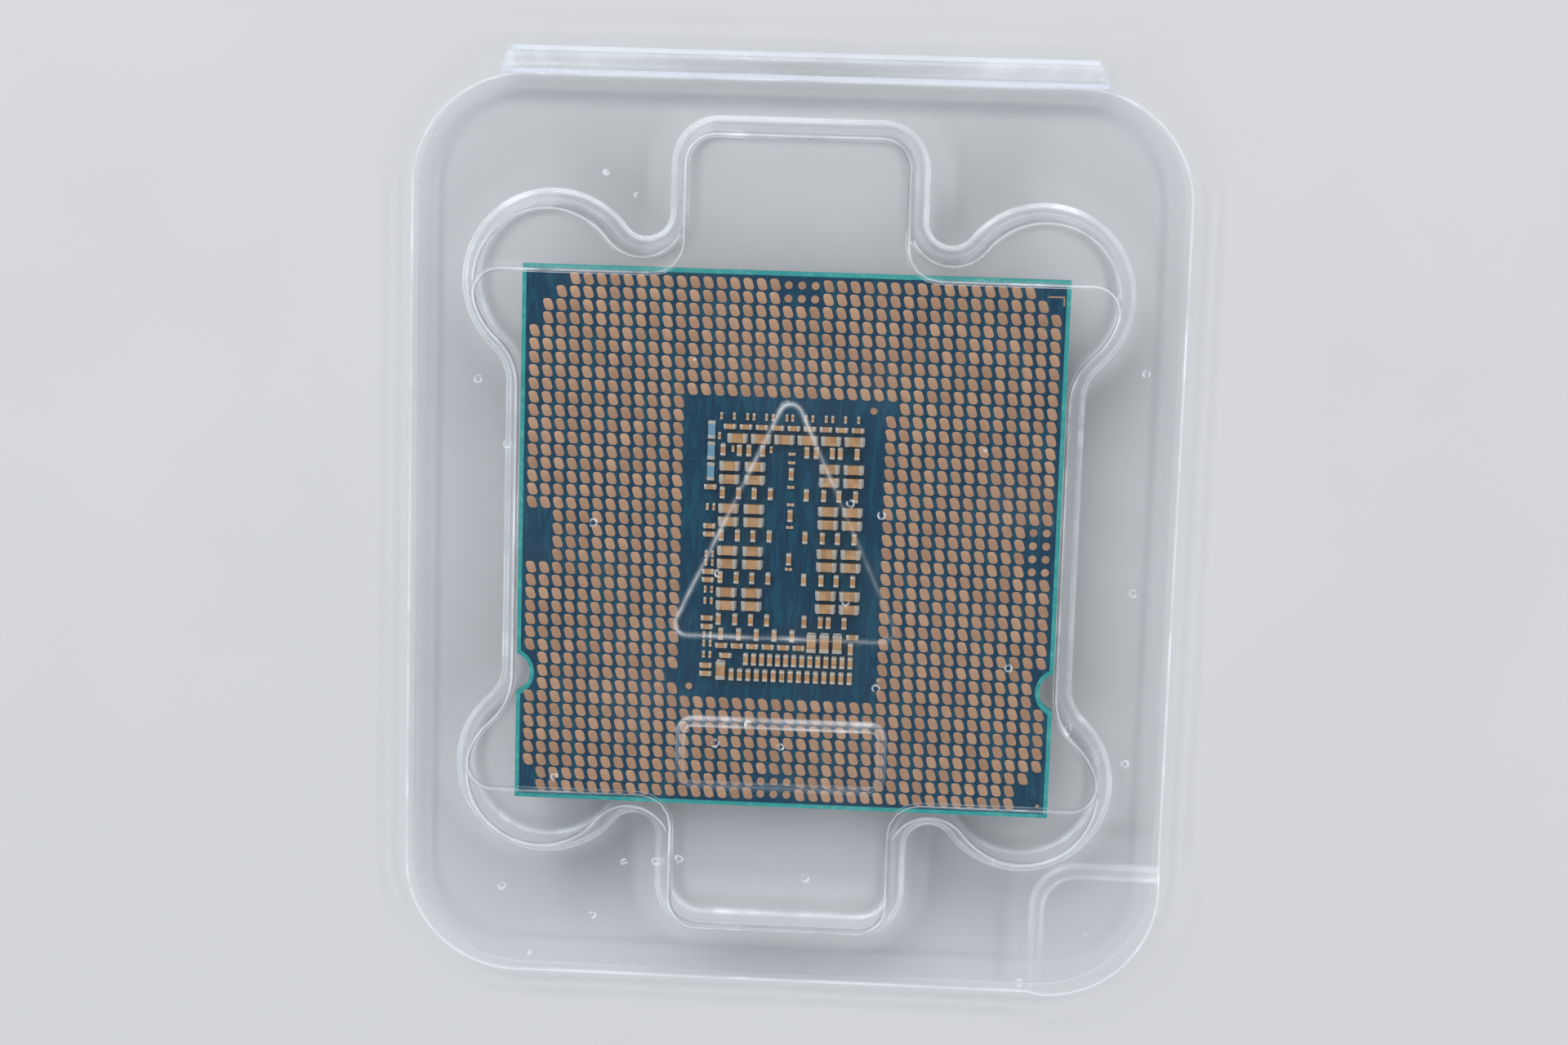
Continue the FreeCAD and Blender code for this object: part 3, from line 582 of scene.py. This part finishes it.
def makePassives():
    # each body runs a little way into its two tinned ends, and each end stands on a solder foot
    for kind, settings in passives.items():
        boxes = solidBoxes(kind + "_bodies")
        endLow, endHigh = solidBoxes(kind + "_ends")[0]
        places = []
        for low, high in boxes:
            turned = high.y - low.y > high.x - low.x
            places.append(((low.x + high.x) / 2, (low.y + high.y) / 2, low.z, math.pi / 2 if turned else 0))
        low, high = boxes[0]
        length = max(high.x - low.x, high.y - low.y)
        slim = min(high.x - low.x, high.y - low.y)
        bodyHeight = high.z - low.z
        endLength = min(endHigh.x - endLow.x, endHigh.y - endLow.y)
        width = max(endHigh.x - endLow.x, endHigh.y - endLow.y)
        endHeight = endHigh.z - endLow.z
        rounding = settings["rounding"]
        half = length / 2 + rounding
        body = addBlock((-half, -slim / 2, 0), (half, slim / 2, bodyHeight), rounding * bodyRounding, 1)
        ends = []
        for side in (-1, 1):
            inner = side * length / 2
            outer = side * (length / 2 + endLength)
            ends.append(addBlock((min(inner, outer), -width / 2, 0),
                                 (max(inner, outer), width / 2, endHeight),
                                 rounding, settings["segments"]))
            heel = outer - side * tinFoot["tuck"]
            toe = side * (length / 2 + endLength + endHeight * tinFoot["reach"])
            footHalf = width * tinFoot["halfWidth"]
            ends.append(addBlock((min(heel, toe), -footHalf, 0),
                                 (max(heel, toe), footHalf, endHeight * tinFoot["height"]),
                                 rounding * tinFoot["rounding"], 1))
        capitals = kind.split("_")
        stem = capitals[0] + "".join(word.capitalize() for word in capitals[1:])
        bodies = copyToPlaces(stem + "Bodies", body, places)
        smooth(bodies, 30)
        finishPiece(bodies, stem + "Bodies", "tray", settings["slot"], finishes[settings["bodyFinish"]],
                    kind + "_bodies")
        tips = copyToPlaces(stem + "Ends", joinPieces(ends), places)
        smooth(tips, 50)
        finishPiece(tips, stem + "Ends", "tray", "tinned_end", finishes["tinned"], kind + "_ends")
    print("passives copied")


cornerTraces = [
    {"low": (17.20, 17.55), "high": (18.35, 17.65)},
    {"low": (18.25, 17.00), "high": (18.35, 17.55)},
    {"low": (17.90, -18.00), "high": (18.15, -17.80)},
]


traceHeights = {"sunk": 0.005, "proud": 0.012, "rounding": 0.004}


def makeCornerTraces():
    # the bare gold traces and the small square beside the corners of the land field
    bars = []
    for trace in cornerTraces:
        low = (trace["low"][0] + packageX, trace["low"][1] + packageY, landLevel - traceHeights["sunk"])
        high = (trace["high"][0] + packageX, trace["high"][1] + packageY, landLevel + traceHeights["proud"])
        bars.append(addBlock(low, high, traceHeights["rounding"], 1))
    piece = joinPieces(bars)
    smooth(piece, 30)
    finishPiece(piece, "cornerTraces", "tray", "land_gold", finishes["gold"])
    print("corner traces made")


# clamshell: outlines

pocket = {
    "slotHalfWidth": 9.0, "slotHalfLength": 29.05, "slotCorner": 3.4, "slotFillet": 1.6,
    "lobeX": 17.0, "lobeY": 17.25, "lobeRadius": 6.5, "sideHalfWidth": 20.3, "sideFillet": 3.0,
    "stepLine": 19.6, "stepFillet": 0.8, "stepCorner": 3.2,
}
rim = {"halfWidth": 27.1, "bottom": -32.7, "top": 31.55, "corner": 8.0}
shellY = lidBox[0].y - rim["bottom"]
sheetThick = 0.3
seamGap = 0.02           # between the rims of the lid and the tray
ledgeDrop = 0.7          # from the roof down to the ledges
wallWidth = 1.5          # plan width of the lid's wall, with its fillets
trayWallStart = 0.25
trayWallWidth = 0.9
trayRimInset = 0.5       # the tray is cut this much smaller than the lid, but not at the hinge
arcStep = 0.34           # spacing of an outline's points on its arcs
lineStep = 1.1           # and on its straight runs
leastRadius = 0.004      # an arc that an inset would close up keeps this much


def allRound(quadrant):
    # repeats the arcs of the quadrant +X +Y in the other three, going round clockwise
    below = [(x, -y, r, -end, -start, bulge) for x, y, r, start, end, bulge in reversed(quadrant)]
    opposite = [(-x, -y, r, start + 180, end + 180, bulge) for x, y, r, start, end, bulge in quadrant]
    left = [(-x, y, r, 180 - end, 180 - start, bulge) for x, y, r, start, end, bulge in reversed(quadrant)]
    return quadrant + below + opposite + left


def pocketArcs(stepped):
    # arcs as centre x, centre y, radius, start, end and 1 where the outline bulges out, -1 where in
    slotX = pocket["slotHalfWidth"]
    lobeX = pocket["lobeX"]
    lobeY = pocket["lobeY"]
    lobe = pocket["lobeRadius"]
    corner = pocket["slotCorner"]
    arcs = [(slotX - corner, pocket["slotHalfLength"] - corner, corner, 90, 0, 1)]
    if stepped:
        fillet = pocket["stepFillet"]
        knee = pocket["stepCorner"]
        kneeY = pocket["stepLine"] - knee
        kneeX = lobeX + math.sqrt((lobe - knee) ** 2 - (kneeY - lobeY) ** 2)
        meet = math.degrees(math.atan2(kneeY - lobeY, kneeX - lobeX))
        arcs.append((slotX + fillet, pocket["stepLine"] + fillet, fillet, 180, 270, -1))
        arcs.append((kneeX, kneeY, knee, 90, meet, 1))
    else:
        fillet = pocket["slotFillet"]
        reach = lobeX - slotX - fillet
        rise = math.sqrt((lobe + fillet) ** 2 - reach ** 2)
        meet = math.degrees(math.atan2(rise, -reach))
        arcs.append((slotX + fillet, lobeY + rise, fillet, 180, 180 + meet, -1))
    arcs.append((lobeX, lobeY, lobe, meet, -45, 1))
    side = pocket["sideFillet"]
    sideX = pocket["sideHalfWidth"] + side
    sideY = sideX - (lobeX - lobeY + math.sqrt(2) * lobe) - math.sqrt(2) * side
    arcs.append((sideX, sideY, side, 135, 180, -1))
    return allRound(arcs)


def roundedArcs(x, y, halfWide, halfDeep, corner):
    arcs = []
    for sideX, sideY, start in ((1, 1, 90), (1, -1, 0), (-1, -1, -90), (-1, 1, -180)):
        arcs.append((x + sideX * (halfWide - corner), y + sideY * (halfDeep - corner), corner,
                     start, start - 90, 1))
    return arcs


def triangleArcs(x, y, radius, corner, squeeze):
    arcs = []
    for middle in (90, -30, -150):
        turn = math.radians(middle)
        reach = radius - 2 * corner
        arcs.append((x + reach * math.cos(turn) * squeeze, y + reach * math.sin(turn), corner,
                     middle + 60, middle - 60, 1))
    return arcs


def ringPoints(arcs, inset=0.0):
    # points round the outline, moved in by inset, arcs finely and straight runs coarsely
    points = []
    for number, (x, y, radius, start, end, bulge) in enumerate(arcs):
        steps = max(2, math.ceil(math.radians(abs(end - start)) * radius / arcStep))
        size = max(radius - bulge * inset, leastRadius)
        for step in range(steps + 1):
            turn = math.radians(start + (end - start) * step / steps)
            points.append((x + size * math.cos(turn), y + size * math.sin(turn)))
        following = arcs[(number + 1) % len(arcs)]
        nextSize = max(following[2] - following[5] * inset, leastRadius)
        turn = math.radians(following[3])
        ahead = (following[0] + nextSize * math.cos(turn), following[1] + nextSize * math.sin(turn))
        gap = math.dist(points[-1], ahead)
        runs = math.ceil(gap / lineStep)
        here = points[-1]
        for step in range(1, runs):
            share = step / runs
            points.append((here[0] + (ahead[0] - here[0]) * share, here[1] + (ahead[1] - here[1]) * share))
    return np.array(points)


class Outline:
    # a closed outline that says how far inside it a point lies

    def __init__(self, arcs):
        self.arcs = arcs
        self.start = ringPoints(arcs)
        self.end = np.roll(self.start, -1, axis=0)

    def depth(self, spots):
        run = self.end - self.start
        square = np.maximum((run ** 2).sum(1), 1e-12)
        best = np.full(len(spots), 1e9)
        inside = np.zeros(len(spots), bool)
        for start, end, along, size in zip(self.start, self.end, run, square):
            offset = spots - start
            share = np.clip(offset @ along / size, 0, 1)
            gap = offset - share[:, None] * along
            best = np.minimum(best, (gap ** 2).sum(1))
            crosses = (start[1] > spots[:, 1]) != (end[1] > spots[:, 1])
            rise = end[1] - start[1] if end[1] != start[1] else 1e-12
            left = spots[:, 0] < start[0] + (spots[:, 1] - start[1]) * (end[0] - start[0]) / rise
            inside ^= crosses & left
        distance = np.sqrt(best)
        return np.where(inside, distance, -distance)


def ramp(share, ease=0.34):
    # rises from 0 to 1 with a straight slope and a fillet at each end
    t = np.clip(share, 0, 1)
    slope = 1 / (1 - ease)
    low = slope * t * t / (2 * ease)
    high = 1 - slope * (1 - t) ** 2 / (2 * ease)
    middle = slope * (t - ease / 2)
    return np.where(t < ease, low, np.where(t > 1 - ease, high, middle))


rimOutline = Outline(roundedArcs(0, (rim["top"] + rim["bottom"]) / 2, rim["halfWidth"],
                                 (rim["top"] - rim["bottom"]) / 2, rim["corner"]))
# the tray is cut inside the lid's rim on three sides, and meets its half of the bead on the fourth
trayBottom = rim["bottom"] + trayRimInset
trayRimOutline = Outline(roundedArcs(0, (rim["top"] + trayBottom) / 2, rim["halfWidth"] - trayRimInset,
                                     (rim["top"] - trayBottom) / 2, rim["corner"]))
pocketOutline = Outline(pocketArcs(False))
roofOutline = Outline(pocketArcs(True))
# glow is how strong the painted highlight on the bends of each feature is
rib = {"halfWidth": 7.3, "length": 5.1, "middle": 15.0, "height": 0.5, "corner": 1.1, "edge": 0.55,
       "glow": 0.35, "glowRise": 0.16, "least": 0.12, "most": 0.75}
mark = {"radius": 11.4, "corner": 0.8, "squeeze": 0.80, "height": 0.15, "half": 0.42, "drop": 1.0,
        "glow": 0.40, "glowFall": 0.06, "tip": 7.0, "tipRise": 0.15, "least": 0.22, "most": 0.85,
        "breaks": 0.32, "breakAlong": 1.3, "breakUp": 0.9, "sharpness": 8}
lift = {"width": 9.0, "length": 9.6, "height": 0.7, "corner": 3.2, "edge": 0.8, "past": 4.0,
        "glow": 0.8, "fade": 0.22, "least": 0.15}
cutLine = {"glow": 0.9, "reach": 0.10}
ledgeBlend = 0.10         # how far the roof and the ledges melt into each other
# where the painted highlight lines sit across each ramp, and how strong they are
highlightLines = {"foot": 0.08, "middle": 0.52, "head": 0.92, "reach": 0.07,
             "footGlow": 0.8, "middleGlow": 0.32}
trayGlow = 0.8
ribOutline = Outline(roundedArcs(0, -rib["middle"], rib["halfWidth"], rib["length"] / 2, rib["corner"]))
markOutline = Outline(triangleArcs(0, -mark["drop"], mark["radius"], mark["corner"], mark["squeeze"]))
liftRight = rim["halfWidth"] + lift["past"]
liftBottom = rim["bottom"] - lift["past"]
liftLeft = rim["halfWidth"] - lift["width"]
liftTop = rim["bottom"] + lift["length"]
liftOutline = Outline(roundedArcs((liftLeft + liftRight) / 2, (liftTop + liftBottom) / 2,
                                  (liftRight - liftLeft) / 2, (liftTop - liftBottom) / 2, lift["corner"]))

rimTop = seamLevel + sheetThick
roofTop = lidBox[1].z - rib["height"]
ledgeTop = roofTop - ledgeDrop


def paintedHighlightLine(share, width):
    # how much painted highlight a ramp gets: most at its head, less at its foot, faint halfway up, and 0
    # elsewhere
    reach = highlightLines["reach"] / width
    foot = np.exp(-((share - highlightLines["foot"]) / reach) ** 2)
    middle = np.exp(-((share - highlightLines["middle"]) / reach) ** 2)
    head = np.exp(-((share - highlightLines["head"]) / reach) ** 2)
    return highlightLines["footGlow"] * foot + highlightLines["middleGlow"] * middle + head


def lidHeight(spots):
    # the lid's outer face: the roof's wall and the lower ledges share the wall round the pocket
    ledgeShare = pocketOutline.depth(spots) / wallWidth
    roofShare = roofOutline.depth(spots) / wallWidth
    ledges = (ledgeTop - rimTop) * ramp(ledgeShare)
    roof = (roofTop - rimTop) * ramp(roofShare)
    gap = np.clip(0.5 + 0.5 * (roof - ledges) / ledgeBlend, 0, 1)
    body = ledges * (1 - gap) + roof * gap + ledgeBlend * gap * (1 - gap)
    body = np.where((ledges < 1e-9) & (roof < 1e-9), 0, body)
    # the second value is painted highlight along the foot, middle and head of the walls
    bend = np.where(roof >= ledges, paintedHighlightLine(roofShare, wallWidth), paintedHighlightLine(ledgeShare, wallWidth))
    ribShare = ribOutline.depth(spots) / rib["edge"]
    raised = rib["height"] * ramp(ribShare)
    line = np.clip(1 - (markOutline.depth(spots) / mark["half"]) ** 2, 0, 1)
    liftShare = liftOutline.depth(spots) / lift["edge"]
    thumb = lift["height"] * ramp(liftShare)
    across = spots[:, 0]
    along = spots[:, 1]
    # the rib's painted highlight is stronger towards its top, the thumb lift's fades upwards, and a painted
    # highlight line runs along the rim's cut edge
    ribTop = np.clip(rib["glow"] + (along + rib["middle"]) * rib["glowRise"], rib["least"], rib["most"])
    liftFade = np.clip(1 + (along - liftTop + lift["corner"]) * lift["fade"], lift["least"], 1)
    edgeLine = cutLine["glow"] * np.exp(-(rimOutline.depth(spots) / cutLine["reach"]) ** 2)
    bend = bend + paintedHighlightLine(ribShare, rib["edge"]) * ribTop
    bend = bend + paintedHighlightLine(liftShare, lift["edge"]) * liftFade * lift["glow"]
    # the triangle's painted highlight is brightest at its tip and on one side, and it comes and goes along
    # the line
    tip = np.maximum(along - mark["tip"], 0) * mark["tipRise"]
    markGlow = np.clip(mark["glow"] - across * mark["glowFall"] + tip, mark["least"], mark["most"])
    wave = np.sin(across * mark["breakAlong"] + along * mark["breakUp"])
    markGlow = markGlow * (1 - mark["breaks"] + mark["breaks"] * wave)
    bend = bend + line ** mark["sharpness"] * markGlow + edgeLine
    return rimTop + body + raised + mark["height"] * line ** 2 + thumb, np.clip(bend, 0, 1)


def trayHeight(spots):
    # the tray's upper face: the rim, and a floor one step lower inside the pocket
    # the second value is painted highlight along the foot, middle and head of the tray's wall
    drop = trayBox[1].z - sheetThick
    share = (pocketOutline.depth(spots) - trayWallStart) / trayWallWidth
    return trayBox[1].z - drop * ramp(share), np.clip(paintedHighlightLine(share, trayWallWidth) * trayGlow, 0, 1)


ringMargin = 0.02        # points closer than this to the cut edge are left out


def sheetMesh(name, outlines, heightOf):
    # triangles between rings that follow each outline, lifted to the sheet's height
    points = []
    edges = []
    for outlineShape, insets in outlines:
        for inset in insets:
            ring = ringPoints(outlineShape.arcs, inset)
            isRim = outlineShape in (rimOutline, trayRimOutline)
            keepers = rimOutline.depth(ring) > (-1e-6 if isRim else ringMargin)
            first = len(points)
            numbers = []
            for spot, keeper in zip(ring, keepers):
                numbers.append(len(points) if keeper else None)
                if keeper:
                    points.append(Vector(spot))
            for here, there in zip(numbers, numbers[1:] + numbers[:1]):
                if here is not None and there is not None:
                    edges.append((here, there))
    result = geometry.delaunay_2d_cdt(points, edges, [], 1, 1e-4)
    spots = np.array([(spot.x, spot.y) for spot in result[0]])
    heights, paintedHighlights = heightOf(spots)
    places = [Vector((x, y + shellY, z)) * mm for (x, y), z in zip(spots, heights)]
    mesh = bpy.data.meshes.new(name)
    mesh.from_pydata(places, [], result[2])
    # each point keeps its painted highlight as an attribute
    mesh.attributes.new("bend", "FLOAT", "POINT").data.foreach_set("value", paintedHighlights)
    mesh.update()
    return mesh


def makeSheet(name, body, outlines, heightOf, finish, node):
    piece = pieceFromMesh(name, sheetMesh(name, outlines, heightOf))
    piece.data.materials.append(finishes[finish])
    piece.data.materials.append(finishes["cutEdge"])
    applyModifier(piece, "SOLIDIFY", thickness=sheetThick * mm, offset=-1, material_offset_rim=1)
    smooth(piece, 50)
    finishPiece(piece, name, body, "clear_sheet", None, node)
    print(name, "faces", len(piece.data.polygons))


def makeClamshell():
    # how far inside its outline each ring of points lies
    wall = [-0.35, -0.1, 0.0, 0.06, 0.12, 0.18, 0.26, 0.36, 0.5, 0.62, 0.7, 0.78, 0.86, 0.94, 1.08, 1.2, 1.28,
            1.33, 1.38, 1.44, 1.5, 1.65, 2.0]
    roofWall = [1.02, 1.1, 1.16, 1.22, 1.28, 1.36, 1.44, 1.5, 1.65]
    lidOutlines = [
        (rimOutline, [0.0, 0.07, 0.14, 0.25, 0.6]),
        (pocketOutline, wall), (roofOutline, roofWall),
        (ribOutline, [-0.12, 0.0, 0.08, 0.16, 0.28, 0.4, 0.48, 0.55, 0.68]),
        (markOutline, [-0.54, -0.42, -0.3, -0.16, 0.0, 0.16, 0.3, 0.42, 0.54]),
        (liftOutline, [-0.2, 0.0, 0.14, 0.28, 0.4, 0.54, 0.68, 0.8, 1.0]),
    ]
    makeSheet("clearLid", "lid", lidOutlines, lidHeight, "lidSheet", "clamshell_lid")
    floorWall = [0.0, 0.13, 0.25, 0.36, 0.48, 0.62, 0.78, 0.92, 1.04, 1.15, 1.35]
    trayOutlines = [(trayRimOutline, [0.0, 0.3]), (pocketOutline, floorWall)]
    makeSheet("clearTray", "tray", trayOutlines, trayHeight, "traySheet", "clamshell_tray")


hinge = {"centre": 32.5, "radius": 0.95, "innerHalf": 21.0, "outerHalf": 20.2, "sides": 36,
         "endFrom": 19.9, "endGlow": 0.25}
# painted highlight lines along the bead: place across it, width and glow
beadLines = [(0.06, 0.07, 0.2), (0.80, 0.06, 0.4)]


def makeHingeStrip(name, side, body, node, finish):
    # half a tube along the fold, with its ends cut on the slant, then given its thickness
    level = seamLevel if side > 0 else seamLevel - seamGap
    centre = Vector((0, hinge["centre"] + shellY, level)) * mm
    half = hinge["innerHalf"] * mm
    deselectAll()
    bpy.ops.mesh.primitive_cylinder_add(vertices=hinge["sides"], radius=hinge["radius"] * mm, depth=2 * half,
                                        end_fill_type="NOTHING", location=centre,
                                        rotation=(0, math.pi / 2, 0))
    bpy.ops.object.transform_apply(location=True, rotation=True, scale=True)
    piece = bpy.context.object
    bpy.ops.object.mode_set(mode="EDIT")
    bpy.ops.mesh.select_all(action="SELECT")
    bpy.ops.mesh.bisect(plane_co=centre, plane_no=(0, 0, side), clear_inner=True)
    bpy.ops.mesh.select_all(action="SELECT")
    bpy.ops.mesh.remove_doubles(threshold=0.001 * mm)
    bpy.ops.mesh.subdivide(number_cuts=1)
    bpy.ops.object.mode_set(mode="OBJECT")
    for vertex in piece.data.vertices:
        share = (vertex.co.y - centre.y) / (2 * hinge["radius"] * mm) + 0.5
        narrowing = 1 + (hinge["outerHalf"] / hinge["innerHalf"] - 1) * share
        vertex.co.x *= narrowing
    # painted highlight: two lines along the bead, and a fainter share at its ends
    glows = []
    for vertex in piece.data.vertices:
        across = (vertex.co.y - centre.y) / (2 * hinge["radius"] * mm) + 0.5
        lines = sum(glow * math.exp(-((across - spot) / width) ** 2) for spot, width, glow in beadLines)
        glows.append(hinge["endGlow"] if abs(vertex.co.x) > hinge["endFrom"] * mm else lines)
    piece.data.attributes.new("bend", "FLOAT", "POINT").data.foreach_set("value", glows)
    piece.data.materials.append(finishes[finish])
    piece.data.materials.append(finishes["cutEdge"])
    applyModifier(piece, "SOLIDIFY", thickness=sheetThick * mm, offset=-1, material_offset_rim=1)
    for vertex in piece.data.vertices:
        # the thickness tilts the cut edges a little past the fold, so they are pulled back to it
        if (vertex.co.z - centre.z) * side < 0:
            vertex.co.z = centre.z
    smooth(piece, 50)
    finishPiece(piece, name, body, "clear_sheet", None, node)
    print(name, "faces", len(piece.data.polygons))


makeLands()
makeRoundPads()
makePassives()
makeCornerTraces()
makeClamshell()
makeHingeStrip("hingeStripLid", 1, "lid", "hinge_bead_lid", "lidSheet")
makeHingeStrip("hingeStripTray", -1, "tray", "hinge_bead_tray", "traySheet")


# floor, lights and camera

def makeFloor():
    finish = Finish("paleFloor")
    grain = finish.noise(0.05, 3, 0.5)
    base = finish.blend(grain, linear(203, 204, 206), linear(210, 211, 213))
    material = finish.close(finish.shader({"Base Color": base, "Roughness": 0.7}))
    deselectAll()
    bpy.ops.mesh.primitive_plane_add(size=3.0, location=(0, 0, -0.02 * mm))
    floor = bpy.context.object
    floor.name = "paleFloor"
    floor.data.materials.append(material)


softLights = {
    "backStrip": {"place": (-30, 330, 250), "long": 520, "narrow": 60, "power": 0.66,
                  "colour": (1.0, 0.98, 0.95)},
    "leftStrip": {"place": (-330, 20, 230), "long": 480, "narrow": 50, "power": 0.46,
                  "colour": (0.97, 0.98, 1.0)},
    "rightStrip": {"place": (330, 60, 230), "long": 480, "narrow": 50, "power": 0.46,
                   "colour": (1.0, 0.99, 0.97)},
    "frontStrip": {"place": (40, -340, 200), "long": 480, "narrow": 50, "power": 0.34,
                   "colour": (0.96, 0.98, 1.0)},
}
evenLight = {"from": (-0.5, 0.7, 1.1), "power": 0.6, "softness": 30}
room = {"colour": (0.92, 0.95, 1.0, 1.0), "strength": 0.40}


def makeLights():
    # a long narrow soft box on each side, so that its reflection runs along the sheet's bends
    for name, settings in softLights.items():
        lamp = bpy.data.lights.new(name, "AREA")
        lamp.shape = "RECTANGLE"
        lamp.size = settings["long"] * mm
        lamp.size_y = settings["narrow"] * mm
        lamp.energy = settings["power"]
        lamp.color = settings["colour"]
        holder = bpy.data.objects.new(name, lamp)
        holder.location = Vector(settings["place"]) * mm
        holder.rotation_euler = (-holder.location).to_track_quat("-Z", "Y").to_euler()
        holder.visible_camera = False
        bpy.context.scene.collection.objects.link(holder)
    sun = bpy.data.lights.new("evenLight", "SUN")   # lights the floor that the soft boxes don't reach
    sun.energy = evenLight["power"]
    sun.angle = math.radians(evenLight["softness"])
    holder = bpy.data.objects.new("evenLight", sun)
    holder.rotation_euler = (-Vector(evenLight["from"])).to_track_quat("-Z", "Y").to_euler()
    bpy.context.scene.collection.objects.link(holder)
    world = bpy.data.worlds.new("softRoom")
    bpy.context.scene.world = world
    world.use_nodes = True
    background = world.node_tree.nodes["Background"]
    background.inputs["Color"].default_value = room["colour"]
    background.inputs["Strength"].default_value = room["strength"]
    bpy.context.scene.view_settings.view_transform = "Standard"


view = {"place": (7.0, 25.1, 167.6), "aim": (-0.29, 1.47, 0.0), "roll": 1.75, "lens": 56.25}


def makeCamera():
    # it stands over the package, a little towards the hinge
    camera = bpy.data.cameras.new("viewCamera")
    camera.lens = view["lens"]
    camera.sensor_width = 36
    camera.clip_start = 0.01
    holder = bpy.data.objects.new("viewCamera", camera)
    centre = Vector((packageX, packageY, landLevel))
    place = (centre + Vector(view["place"])) * mm
    back = (place - (centre + Vector(view["aim"])) * mm).normalized()
    right = Vector((0, 1, 0)).cross(back).normalized()
    turn = Matrix((right, back.cross(right), back)).transposed()
    holder.rotation_euler = (turn @ Matrix.Rotation(math.radians(view["roll"]), 3, "Z")).to_euler()
    holder.location = place
    bpy.context.scene.collection.objects.link(holder)
    bpy.context.scene.camera = holder


makeFloor()
makeLights()
makeCamera()
deselectAll()
print("floor, lights and camera placed")
